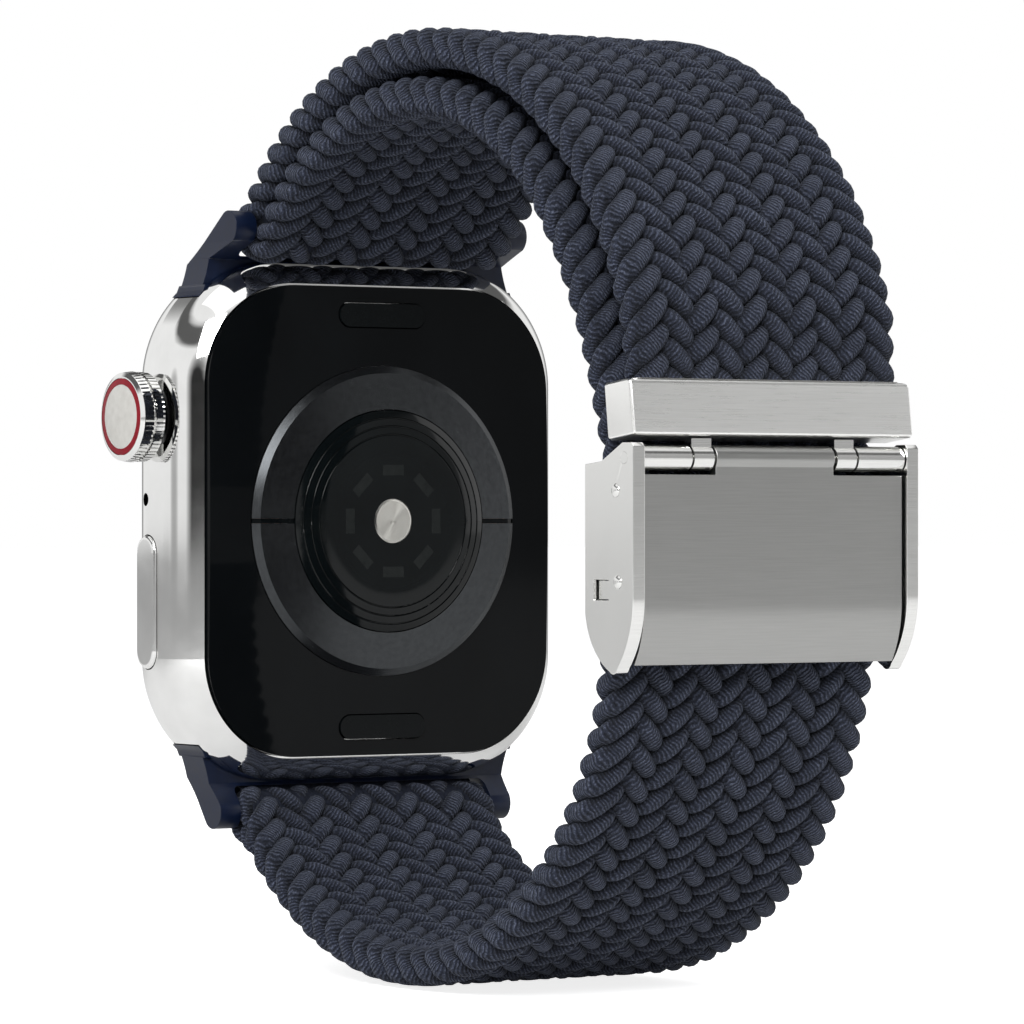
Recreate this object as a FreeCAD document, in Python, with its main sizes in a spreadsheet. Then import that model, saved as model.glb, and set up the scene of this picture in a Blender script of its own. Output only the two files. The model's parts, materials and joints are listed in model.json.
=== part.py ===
import FreeCAD, Part
import math
import os
import Sketcher

# A rounded rectangular smartwatch on a closed, two-layer braided strap with a metal flip clasp.
#
# While it is drawn, x runs across the strap (the crown is on the -x side), y runs through the case
# from its sensor side towards its display, and z runs up the strap. The case's centre is at
# x = z = 0, and y = 0 is the rim round the rear cover. Every sub-part's Placement then moves it so
# that the origin is under the middle of the whole object, at the bottom of the strap's loop.

V = FreeCAD.Vector
doc = FreeCAD.newDocument("BraidedBandWatch")
sheet = doc.addObject("Spreadsheet::Sheet", "Sizes")

SIZES = {
    # case
    "case_width": 38.0,
    "case_height": 44.0,
    "case_corner": 10.5,
    "case_rear": -0.5,
    "case_front": 10.3,
    "case_edge": 4.2,
    "cavity_width": 32.0,
    "cavity_height": 34.6,
    "cavity_corner": 7.0,
    "rear_recess_width": 34.2,
    "rear_recess_height": 39.9,
    "recess_corner": 8.6,
    "rear_ledge": 0.8,
    "front_recess_width": 34.6,
    "front_recess_height": 40.6,
    "front_ledge": 8.6,
    "glass_front": 11.5,
    "glass_edge": 1.9,
    "rear_cover_width": 33.9,
    "rear_cover_height": 39.6,
    "rear_cover_crown": -0.95,
    "rear_dome_radius": 323.0,
    # sensor
    "ring_radius": 13.1,
    "crystal_radius": 9.35,
    "crystal_flat_radius": 5.6,
    "crystal_crown": -2.25,
    "lens_radius": 1.9,
    "window_orbit": 4.3,
    "window_length": 2.1,
    "window_width": 0.9,
    "electrode_gap": 0.4,
    "insulator_depth": 0.1,
    # crown and buttons
    "crown_depth": 5.8,
    "crown_height": 8.7,
    "crown_radius": 3.9,
    "shaft_radius": 1.5,
    "bushing_radius": 2.3,
    "knob_length": 2.4,
    "side_button_height": -6.8,
    "side_button_depth": 6.3,
    "side_button_length": 11.2,
    "side_button_width": 3.0,
    "release_height": 17.4,
    "release_length": 8.5,
    "release_width": 2.0,
    "running_gap": 0.05,
    # connectors
    "foot_near": 3.0,
    "foot_far": 7.3,
    "neck_near": 3.4,
    "neck_far": 6.9,
    "foot_bottom": 18.8,
    "foot_top": 19.8,
    "groove_gap": 0.1,
    "strip_top": 22.25,
    "strip_corner": 0.6,
    "arm_inside": 12.6,
    "arm_outside": 14.6,
    "flare_width": 15.6,
    "flare_top": 23.4,
    "arm_end_radius": 1.4,
    "pin_radius": 0.45,
    "upper_pin_depth": 0.6,
    "upper_pin_height": 24.5,
    "lower_pin_depth": 3.1,
    "lower_pin_height": -24.4,
    "lock_pin_radius": 0.9,
    # strap
    "strap_width": 24.0,
    "strap_half": 1.5,
    "fold_half": 1.05,
    "fold_radius": 1.6,
    "clamped_half": 1.1,
    "eye_radius": 1.65,
    # clasp
    "plate_inside": 12.45,
    "plate_thickness": 1.1,
    "clasp_pin_radius": 0.5,
    "pin_dome": 0.2,
    "hinge_depth": -55.2,
    "hinge_height": 4.75,
    "hinge_pin_radius": 0.45,
    "hinge_barrel_radius": 1.0,
    "cover_half_width": 12.25,
    "cover_thickness": 0.8,
    "knuckle_half_width": 5.6,
    "keeper_half_width": 13.3,
    "keeper_lean": 7.0,
}
for row, (alias, number) in enumerate(SIZES.items(), start=1):
    sheet.set("A%d" % row, alias)
    sheet.set("B%d" % row, str(number))
    sheet.setAlias("B%d" % row, alias)
doc.recompute()


def size(alias):
    """A driving size, as a number."""
    return float(sheet.get(alias))


# ------------------------------------------------------------------ helpers

SUBPARTS = []
AXIS_X = FreeCAD.Rotation(V(0, 1, 0), 90)
AXIS_Y = FreeCAD.Rotation(V(1, 0, 0), -90)


def subpart(item, label):
    """Names a finished solid as a sub-part of the watch."""
    item.Label = label
    SUBPARTS.append(item)
    return item


def bind(item, **sizes):
    """Ties properties to expressions over the sheet, where a bare alias is enough."""
    for name, expression in sizes.items():
        if expression in SIZES:
            expression = "Sizes." + expression
        item.setExpression(name, expression)
    return item


def new_body(name):
    return doc.addObject("PartDesign::Body", name)


def new_sketch(body, name, role, offset=0.0):
    """A sketch on one of the body's own origin planes, moved along the plane's normal."""
    plane = [item for item in body.Origin.OriginFeatures if item.Role == role][0]
    sketch = body.newObject("Sketcher::SketchObject", name)
    sketch.AttachmentSupport = [(plane, "")]
    sketch.MapMode = "FlatFace"
    sketch.AttachmentOffset = FreeCAD.Placement(V(0, 0, offset), FreeCAD.Rotation())
    return sketch


def draw_loop(sketch, start, steps):
    """A closed outline: each step is an end point, or a (point on the arc, end point) pair."""
    here = V(start[0], start[1], 0)
    for step in steps:
        if isinstance(step[0], tuple):
            middle = V(step[0][0], step[0][1], 0)
            end = V(step[1][0], step[1][1], 0)
            sketch.addGeometry(Part.Arc(here, middle, end))
        else:
            end = V(step[0], step[1], 0)
            sketch.addGeometry(Part.LineSegment(here, end))
        here = end


def rounded_rectangle(sketch, width, height, radius, centre=(0.0, 0.0)):
    """Four lines and four arcs about a centre; the three sizes are expressions over the sheet."""
    half_w, half_h, corner = 8.0, 9.0, 2.0
    cx, cy = centre
    lines = [
        ((-half_w + corner, -half_h), (half_w - corner, -half_h)),
        ((half_w, -half_h + corner), (half_w, half_h - corner)),
        ((half_w - corner, half_h), (-half_w + corner, half_h)),
        ((-half_w, half_h - corner), (-half_w, -half_h + corner)),
    ]
    for (x1, y1), (x2, y2) in lines:
        sketch.addGeometry(Part.LineSegment(V(x1 + cx, y1 + cy, 0), V(x2 + cx, y2 + cy, 0)))
    arcs = [
        (half_w - corner, -half_h + corner, -90),
        (half_w - corner, half_h - corner, 0),
        (-half_w + corner, half_h - corner, 90),
        (-half_w + corner, -half_h + corner, 180),
    ]
    for x, y, angle in arcs:
        circle = Part.Circle(V(x + cx, y + cy, 0), V(0, 0, 1), corner)
        start = math.radians(angle)
        sketch.addGeometry(Part.ArcOfCircle(circle, start, start + math.pi / 2))
    rule = Sketcher.Constraint
    for line in range(4):
        sketch.addConstraint(rule("Tangent", line, 2, line + 4, 1))
        sketch.addConstraint(rule("Tangent", line + 4, 2, (line + 1) % 4, 1))
    sketch.addConstraint(rule("Horizontal", 0))
    sketch.addConstraint(rule("Horizontal", 2))
    sketch.addConstraint(rule("Vertical", 1))
    sketch.addConstraint(rule("Vertical", 3))
    for arc in (5, 6, 7):
        sketch.addConstraint(rule("Equal", 4, arc))
    if centre == (0.0, 0.0):
        sketch.addConstraint(rule("Symmetric", 0, 1, 2, 1, -1, 1))
    else:
        middle = sketch.addGeometry(Part.Point(V(cx, cy, 0)))
        sketch.addConstraint(rule("Block", middle))
        sketch.addConstraint(rule("Symmetric", 0, 1, 2, 1, middle, 1))
    for kind, places, value, expression in (
        ("Radius", (4,), corner, radius),
        ("DistanceX", (3, 1, 1, 1), 2 * half_w, width),
        ("DistanceY", (0, 1, 2, 1), 2 * half_h, height),
    ):
        sketch.addConstraint(rule(kind, *places, value))
        sketch.setExpression("Constraints[%d]" % (sketch.ConstraintCount - 1), expression)


def pad(body, sketch, name, length, reverse=False):
    item = body.newObject("PartDesign::Pad", name)
    item.Profile = sketch
    item.Reversed = reverse
    bind(item, Length=length)
    doc.recompute()
    return item


def pocket(body, sketch, name, length, reverse=False):
    """A pocket that stops the build if it cuts nothing."""
    before = body.Shape.Volume
    item = body.newObject("PartDesign::Pocket", name)
    item.Profile = sketch
    item.Reversed = reverse
    bind(item, Length=length)
    doc.recompute()
    if item.Shape.Volume > before - 1e-6:
        raise RuntimeError("pocket %s of %s cuts nothing" % (name, body.Name))
    return item


def round_edges(body, name, radius, wanted):
    """Fillets the edges of the body's tip that the test picks."""
    tip = body.Tip
    names = ["Edge%d" % (i + 1) for i, edge in enumerate(tip.Shape.Edges) if wanted(edge)]
    item = body.newObject("PartDesign::Fillet", name)
    item.Base = (tip, names)
    bind(item, Radius=radius)
    doc.recompute()
    return item


def slab(name, y_near, y_far, width, height, corner, hole=None, centre=(0.0, 0.0)):
    """A rounded rectangular plate square to y, with an optional rounded rectangular hole."""
    body = new_body(name)
    sketch = new_sketch(body, name + "_outline", "XZ_Plane", -y_near)
    rounded_rectangle(sketch, width, height, corner, centre)
    pad(body, sketch, name + "_pad", "%g" % (y_far - y_near), reverse=True)
    if hole:
        inner = new_sketch(body, name + "_opening", "XZ_Plane", -y_near)
        rounded_rectangle(inner, *hole, centre)
        pocket(body, inner, name + "_cut", "%g" % (y_far - y_near))
    return body


def revolved(name, start, steps):
    """A body of revolution about its own y axis, drawn as (radius, y)."""
    body = new_body(name)
    sketch = new_sketch(body, name + "_profile", "XY_Plane")
    draw_loop(sketch, start, steps)
    turn = body.newObject("PartDesign::Revolution", name + "_turn")
    turn.Profile = sketch
    turn.ReferenceAxis = (sketch, ["V_Axis"])
    turn.Angle = 360.0
    doc.recompute()
    return body


def profile_along_x(name, start, steps, x_near, x_far):
    """An outline in (y, z), padded along x between two stations."""
    body = new_body(name)
    sketch = new_sketch(body, name + "_outline", "YZ_Plane", x_near)
    draw_loop(sketch, start, steps)
    pad(body, sketch, name + "_pad", "%g" % (x_far - x_near))
    return body


def cylinder_x(name, x_near, x_far, y, z, radius):
    """A cylinder along x. The radius is an expression over the sheet."""
    item = doc.addObject("Part::Cylinder", name)
    bind(item, Radius=radius)
    item.Height = x_far - x_near
    item.Placement = FreeCAD.Placement(V(x_near, y, z), AXIS_X)
    return item


def cylinder_y(name, y_near, y_far, x, z, radius):
    """A cylinder along y."""
    item = doc.addObject("Part::Cylinder", name)
    bind(item, Radius=radius)
    item.Height = y_far - y_near
    item.Placement = FreeCAD.Placement(V(x, y_near, z), AXIS_Y)
    return item


def cylinder_z(name, z_near, z_far, x, y, radius):
    """A cylinder along z."""
    item = doc.addObject("Part::Cylinder", name)
    bind(item, Radius=radius)
    item.Height = z_far - z_near
    item.Placement = FreeCAD.Placement(V(x, y, z_near), FreeCAD.Rotation())
    return item


def block(name, low, high):
    item = doc.addObject("Part::Box", name)
    item.Length = high[0] - low[0]
    item.Width = high[1] - low[1]
    item.Height = high[2] - low[2]
    item.Placement.Base = V(*low)
    return item


def cut(name, base, *tools):
    for number, tool in enumerate(tools):
        item = doc.addObject("Part::Cut", "%s_cut_%d" % (name, number))
        item.Base = base
        item.Tool = tool
        base = item
    doc.recompute()
    return base


def fuse(name, *items):
    joined = doc.addObject("Part::MultiFuse", name + "_union")
    joined.Shapes = list(items)
    joined.Refine = True
    doc.recompute()
    return joined


def common(name, base, tool):
    item = doc.addObject("Part::Common", name + "_overlap")
    item.Base = base
    item.Tool = tool
    doc.recompute()
    return item


def pill_x(name, x_near, x_far, y, z, length, width):
    """A flat-sided pill with its length along z, standing along x."""
    body = new_body(name)
    sketch = new_sketch(body, name + "_outline", "YZ_Plane", x_near)
    half, reach = width / 2.0, (length - width) / 2.0
    draw_loop(
        sketch,
        (y + half, z - reach),
        [
            (y + half, z + reach),
            ((y, z + reach + half), (y - half, z + reach)),
            (y - half, z - reach),
            ((y, z - reach - half), (y + half, z - reach)),
        ],
    )
    pad(body, sketch, name + "_pad", "%g" % (x_far - x_near))
    return body


def pill_y(name, y_near, y_far, z, length, width):
    """A flat-sided pill with its length along x, standing along y."""
    body = new_body(name)
    sketch = new_sketch(body, name + "_outline", "XZ_Plane", -y_near)
    half, reach = width / 2.0, (length - width) / 2.0
    draw_loop(
        sketch,
        (-reach, z - half),
        [
            (reach, z - half),
            ((reach + half, z), (reach, z + half)),
            (-reach, z + half),
            ((-reach - half, z), (-reach, z - half)),
        ],
    )
    pad(body, sketch, name + "_pad", "%g" % (y_far - y_near), reverse=True)
    return body


# ------------------------------------------------------------------ case

CASE_LEFT = -size("case_width") / 2
CROWN_Y = size("crown_depth")
CROWN_Z = size("crown_height")
RELEASE_Z = size("release_height")
MIC_Y, MIC_Z = 6.7, 1.8


def groove_tool(name, sign):
    """The space that a connector's foot and neck slide through, above or below the case."""
    gap = size("groove_gap")
    far = size("case_width") / 2 + 1.0
    foot = block(
        name + "_foot",
        (-far, size("foot_near") - gap, size("foot_bottom") - gap),
        (far, size("foot_far") + gap, size("foot_top") + gap),
    )
    neck = block(
        name + "_neck",
        (-far, size("neck_near") - gap, size("foot_top")),
        (far, size("neck_far") + gap, size("case_height") / 2 + 1.0),
    )
    tool = fuse(name, foot, neck)
    if sign < 0:
        turned = doc.addObject("Part::Mirroring", name + "_mirrored")
        turned.Source = tool
        turned.Base = V(0, 0, 0)
        turned.Normal = V(0, 0, 1)
        doc.recompute()
        tool = turned
    return tool


def make_housing():
    body = new_body("housing_blank")
    outline = new_sketch(body, "housing_outline", "XZ_Plane", -size("case_rear"))
    rounded_rectangle(outline, "Sizes.case_width", "Sizes.case_height", "Sizes.case_corner")
    pad(body, outline, "housing_pad", "Sizes.case_front - Sizes.case_rear", reverse=True)

    def end_edge(edge):
        box = edge.BoundBox
        at_rear = abs(box.YMin - size("case_rear")) < 1e-6
        at_front = abs(box.YMin - size("case_front")) < 1e-6
        return box.YLength < 1e-6 and (at_rear or at_front)

    round_edges(body, "housing_edges", "case_edge", end_edge)
    rear = new_sketch(body, "rear_recess_outline", "XZ_Plane", -size("case_rear"))
    rounded_rectangle(rear, "Sizes.rear_recess_width", "Sizes.rear_recess_height", "Sizes.recess_corner")
    pocket(body, rear, "rear_recess", "Sizes.rear_ledge - Sizes.case_rear")
    front = new_sketch(body, "front_recess_outline", "XZ_Plane", -size("front_ledge"))
    rounded_rectangle(front, "Sizes.front_recess_width", "Sizes.front_recess_height", "Sizes.recess_corner")
    pocket(body, front, "front_recess", "Sizes.case_front - Sizes.front_ledge")
    cavity = new_sketch(body, "cavity_outline", "XZ_Plane", -size("rear_ledge"))
    rounded_rectangle(cavity, "Sizes.cavity_width", "Sizes.cavity_height", "Sizes.cavity_corner")
    pocket(body, cavity, "cavity", "Sizes.front_ledge - Sizes.rear_ledge")

    inside = -size("cavity_width") / 2 + 0.5
    length, width = size("side_button_length"), size("side_button_width")
    button = size("side_button_height")
    tools = [groove_tool("upper_groove", 1), groove_tool("lower_groove", -1)]
    tools.append(cylinder_x("crown_bore", CASE_LEFT - 1, inside, CROWN_Y, CROWN_Z, "bushing_radius"))
    recess = pill_x(
        "button_recess", CASE_LEFT - 1, CASE_LEFT + 1.3, size("side_button_depth"), button,
        length + 0.16, width + 0.16,
    )
    tools.append(recess)
    for number, step in enumerate((-3.5, 3.5)):
        stem = cylinder_x(
            "stem_bore_%d" % number, CASE_LEFT + 1, inside, size("side_button_depth"), button + step,
            "0.6 + Sizes.running_gap",
        )
        tools.append(stem)
    tools.append(cylinder_x("microphone_bore", CASE_LEFT - 1, inside, MIC_Y, MIC_Z, "0.55"))
    for number, step in enumerate((-4.6, 4.6)):
        slot = pill_x("speaker_slot_%d" % number, -inside, -CASE_LEFT + 1, 6.0, step, 7.0, 1.1)
        tools.append(slot)
    ledge = size("rear_ledge")
    for name, sign in (("upper", 1), ("lower", -1)):
        tools.append(
            pill_y(
                name + "_release_recess", ledge - 0.1, ledge + 1.3, sign * RELEASE_Z,
                size("release_length") + 0.2, size("release_width") + 0.2,
            )
        )
    subpart(cut("case_housing", body, *tools), "case_housing")


def make_display():
    glass = slab(
        "glass_blank", size("front_ledge") + 0.35, size("glass_front"),
        "Sizes.front_recess_width - 0.3", "Sizes.front_recess_height - 0.3", "Sizes.recess_corner - 0.15",
    )
    front = size("glass_front")
    round_edges(
        glass, "glass_rounding", "glass_edge",
        lambda edge: edge.BoundBox.YLength < 1e-6 and abs(edge.BoundBox.YMin - front) < 1e-6,
    )
    subpart(glass, "front_glass")
    ledge = size("front_ledge")
    gasket = slab(
        "display_gasket", ledge, ledge + 0.3, "34.0", "40.0", "8.4", hole=("31.8", "35.2", "6.4")
    )
    subpart(gasket, "display_gasket")
    panel = slab("display_panel", ledge - 0.6, ledge + 0.2, "30.6", "33.6", "6.0")
    subpart(panel, "display_panel")


def make_rear_cover():
    """A shallow domed rounded rectangle with a round opening and two button openings."""
    blank = slab(
        "rear_cover_blank", size("rear_cover_crown"), 0.5,
        "Sizes.rear_cover_width", "Sizes.rear_cover_height", "Sizes.recess_corner - 0.15",
    )
    ball = doc.addObject("Part::Sphere", "rear_dome")
    bind(ball, Radius="rear_dome_radius")
    ball.Placement.Base = V(0, size("rear_cover_crown") + size("rear_dome_radius"), 0)
    domed = common("rear_cover", blank, ball)
    opening = cylinder_y("sensor_opening", -2, 2, 0, 0, "Sizes.ring_radius + 0.05")
    slots = []
    for name, sign in (("upper", 1), ("lower", -1)):
        slots.append(
            pill_y(
                name + "_release_opening", -2, 2, sign * RELEASE_Z,
                size("release_length") + 0.2, size("release_width") + 0.2,
            )
        )
    subpart(cut("rear_cover", domed, opening, *slots), "rear_cover")
    gasket = slab("rear_gasket", 0.5, 0.8, "33.8", "39.4", "8.4", hole=("32.4", "38.0", "7.7"))
    subpart(gasket, "rear_gasket")


def make_sensor():
    ring_radius, inner = size("ring_radius"), size("crystal_radius") + 0.1
    foot = -0.45
    ring = revolved(
        "electrode_ring", (ring_radius, foot),
        [(ring_radius, -0.8), (ring_radius - 0.6, -1.2), (inner, -1.62), (inner, foot), (ring_radius, foot)],
    )
    half = size("electrode_gap") / 2
    for name, low, high in (("upper", half, 14.0), ("lower", -14.0, -half)):
        side = block("electrode_side_" + name, (-14, -2, low), (14, 0, high))
        subpart(common("electrode_half_" + name, ring, side), "electrode_ring_" + name)
    sunk = size("insulator_depth")
    core = revolved(
        "insulator_ring", (ring_radius - sunk, foot),
        [(ring_radius - sunk, sunk - 0.8), (ring_radius - 0.6 - sunk, sunk - 1.2), (inner, sunk - 1.62),
         (inner, foot), (ring_radius - sunk, foot)],
    )
    bar = half - 0.01
    gap = block("insulator_bar", (-14, -2, -bar), (14, 0, bar))
    subpart(common("electrode_insulators", core, gap), "electrode_insulators")

    crown, flat = size("crystal_crown"), size("crystal_flat_radius")
    edge = size("crystal_radius")
    crystal = revolved(
        "crystal_blank", (0, crown),
        [(flat, crown), ((7.6, crown + 0.13), (edge, crown + 0.6)), (edge, -0.45), (0, -0.45), (0, crown)],
    )
    grooves = []
    for number, radius in enumerate((8.7, 8.0, 7.3)):
        torus = doc.addObject("Part::Torus", "crystal_line_%d" % number)
        torus.Radius1 = radius
        torus.Radius2 = 0.09
        lift = 0.05 + (radius - flat) ** 2 / (edge - flat) ** 2 * 0.6
        torus.Placement = FreeCAD.Placement(V(0, crown + lift - 0.05, 0), AXIS_Y)
        grooves.append(torus)
    lens_seat = cylinder_y("lens_seat", crown - 1, crown + 0.5, 0, 0, "lens_radius")
    window_tools = []
    windows = []
    for number in range(8):
        angle = 45.0 * number
        turn = FreeCAD.Rotation(V(0, 1, 0), angle)
        orbit, length, width = size("window_orbit"), size("window_length"), size("window_width")
        for group, depth in ((window_tools, 0.5), (windows, 0.0)):
            item = doc.addObject("Part::Box", "window_%d_%d" % (number, len(group)))
            bind(item, Length="window_length", Height="window_width")
            item.Width = 0.3 + depth
            low = V(-length / 2, crown + 0.01 - depth, orbit - width / 2)
            item.Placement = FreeCAD.Placement(turn.multVec(low), turn)
            group.append(item)
    subpart(cut("sensor_crystal", crystal, lens_seat, *grooves, *window_tools), "sensor_crystal")
    subpart(fuse("sensor_windows", *windows), "sensor_windows")
    lens = revolved(
        "centre_lens", (0, crown + 0.06),
        [(1.7, crown + 0.02), (size("lens_radius"), crown + 0.08), (size("lens_radius"), crown + 0.5),
         (0, crown + 0.5), (0, crown + 0.06)],
    )
    subpart(lens, "centre_lens")


def make_electronics():
    subpart(cylinder_y("sensor_board", -0.4, 0.3, 0, 0, "9.0"), "sensor_board")
    coil = revolved("charging_coil", (9.8, -0.4), [(12.6, -0.4), (12.6, 0.4), (9.8, 0.4), (9.8, -0.4)])
    subpart(coil, "charging_coil")
    subpart(cylinder_y("charging_magnet", 0.4, 1.5, 0, 0, "5.0"), "charging_magnet")
    frame = slab("inner_frame", 0.9, 1.5, "30.6", "32.0", "6.0", hole=("22.0", "22.0", "3.0"))
    subpart(frame, "inner_frame")
    subpart(slab("battery", 1.7, 5.2, "19.0", "22.0", "1.5", centre=(-1.0, 1.5)), "battery")
    subpart(slab("main_board", 5.5, 6.4, "21.0", "30.0", "2.0"), "main_board")
    subpart(block("haptic_motor", (-9, 1.7, -16.0), (6, 5.2, -10.4)), "haptic_motor")
    subpart(block("speaker", (11.5, 3.6, -8.5), (15.7, 7.6, 8.5)), "speaker")
    subpart(block("microphone", (-15.8, 5.4, 0.4), (-14.0, 7.8, 3.0)), "microphone")


KNURLS = 56


def make_crown():
    """The knob turns on its shaft, and the whole presses a dome switch through a shear plate."""
    wall = size("cavity_width") / 2
    tube = cylinder_x("bushing_tube", CASE_LEFT + 0.35, -wall + 0.4, CROWN_Y, CROWN_Z, "bushing_radius")
    hole = cylinder_x(
        "bushing_hole", CASE_LEFT - 1, -wall + 2, CROWN_Y, CROWN_Z, "Sizes.shaft_radius + Sizes.running_gap"
    )
    subpart(cut("crown_bushing", tube, hole), "crown_bushing")
    shaft_end = -wall + 1.6
    shaft = cylinder_x("crown_shaft", CASE_LEFT - 0.6, shaft_end, CROWN_Y, CROWN_Z, "shaft_radius")
    subpart(shaft, "crown_shaft")
    plate = cylinder_x("shear_blank", -wall + 0.9, -wall + 1.2, CROWN_Y, CROWN_Z, "2.0")
    plate_hole = cylinder_x(
        "shear_hole", -wall, -wall + 2, CROWN_Y, CROWN_Z, "Sizes.shaft_radius + Sizes.running_gap"
    )
    subpart(cut("crown_shear_plate", plate, plate_hole), "crown_shear_plate")
    switch = block("crown_switch", (shaft_end + 0.5, 4.2, 7.2), (shaft_end + 1.4, 7.4, 10.2))
    subpart(switch, "crown_switch")

    # The knob: a plain base collar and two knurled bands with a groove between them.
    far, length = size("crown_radius"), size("knob_length")
    inner_face = 0.45
    knob = revolved(
        "knob_blank", (0, inner_face),
        [(far - 0.5, inner_face), (far - 0.15, inner_face + 0.3), (far - 0.15, inner_face + 1.05),
         (far - 0.45, inner_face + 1.1), (far - 0.45, inner_face + 1.3), (far - 0.1, inner_face + 1.35),
         (far - 0.2, inner_face + length - 0.2), (far - 0.55, inner_face + length),
         (far - 0.65, inner_face + length), (far - 0.65, inner_face + length - 0.35),
         (0, inner_face + length - 0.35), (0, inner_face)],
    )
    tooth = block(
        "knurl_tooth", (-0.09, inner_face + 0.3, far - 0.32), (0.09, inner_face + length - 0.25, far + 1)
    )
    teeth = []
    for number in range(KNURLS):
        turn = FreeCAD.Rotation(V(0, 1, 0), number * 360.0 / KNURLS)
        notch = doc.addObject("Part::Feature", "knurl_%d" % number)
        notch.Shape = tooth.Shape.copy()
        notch.Placement = FreeCAD.Placement(turn.multVec(tooth.Placement.Base), turn)
        teeth.append(notch)
    doc.removeObject("knurl_tooth")
    knurls = doc.addObject("Part::Compound", "knurls")
    knurls.Links = teeth
    seat = cylinder_y("shaft_seat", -0.5, inner_face + 0.3, 0, 0, "shaft_radius")
    crown = cut("crown_knob", knob, knurls, seat)
    ring_out, ring_in = far - 0.7, far - 1.2
    top = inner_face + length
    ring = revolved(
        "crown_ring", (ring_in, top - 0.3),
        [(ring_out, top - 0.3), (ring_out, top - 0.02), (ring_in, top + 0.04), (ring_in, top - 0.3)],
    )
    cap = revolved(
        "crown_cap", (0, top - 0.35),
        [(ring_in - 0.02, top - 0.35), (ring_in - 0.02, top + 0.02), ((1.5, top + 0.14), (0.4, top + 0.2)),
         (0, top + 0.2), (0, top - 0.35)],
    )
    outward = FreeCAD.Placement(V(CASE_LEFT, CROWN_Y, CROWN_Z), FreeCAD.Rotation(V(0, 0, 1), 90))
    for item, label in ((crown, "crown_knob"), (ring, "crown_ring"), (cap, "crown_cap")):
        item.Placement = outward
        subpart(item, label)


def make_side_button():
    y, z = size("side_button_depth"), size("side_button_height")
    cap = pill_x(
        "side_button_cap", CASE_LEFT - 0.3, CASE_LEFT + 0.6, y, z,
        size("side_button_length"), size("side_button_width"),
    )
    round_edges(
        cap, "side_button_rounding", "0.35",
        lambda edge: edge.BoundBox.XLength < 1e-6 and edge.BoundBox.XMin < CASE_LEFT,
    )
    subpart(cap, "side_button_cap")
    inner = -size("cavity_width") / 2
    stems = [
        cylinder_x("side_stem_%d" % number, CASE_LEFT + 0.6, inner + 0.9, y, z + step, "0.6")
        for number, step in enumerate((-3.5, 3.5))
    ]
    bridge = block("side_stem_bridge", (inner + 0.5, y - 0.6, z - 4.1), (inner + 0.9, y + 0.6, z + 4.1))
    subpart(fuse("side_button_stems", *stems, bridge), "side_button_stems")
    switch = block("side_button_switch", (inner + 1.4, y - 1.2, z - 1.8), (inner + 2.2, y + 1.2, z + 1.8))
    subpart(switch, "side_button_switch")


def make_release_buttons():
    for name, sign in (("upper", 1), ("lower", -1)):
        button = pill_y(
            name + "_release_button", -0.62, 1.2, sign * RELEASE_Z,
            size("release_length"), size("release_width"),
        )
        subpart(button, name + "_release_button")


# ------------------------------------------------------------------ connectors

UPPER_PIN = (size("upper_pin_depth"), size("upper_pin_height"))
LOWER_PIN = (size("lower_pin_depth"), size("lower_pin_height"))


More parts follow.
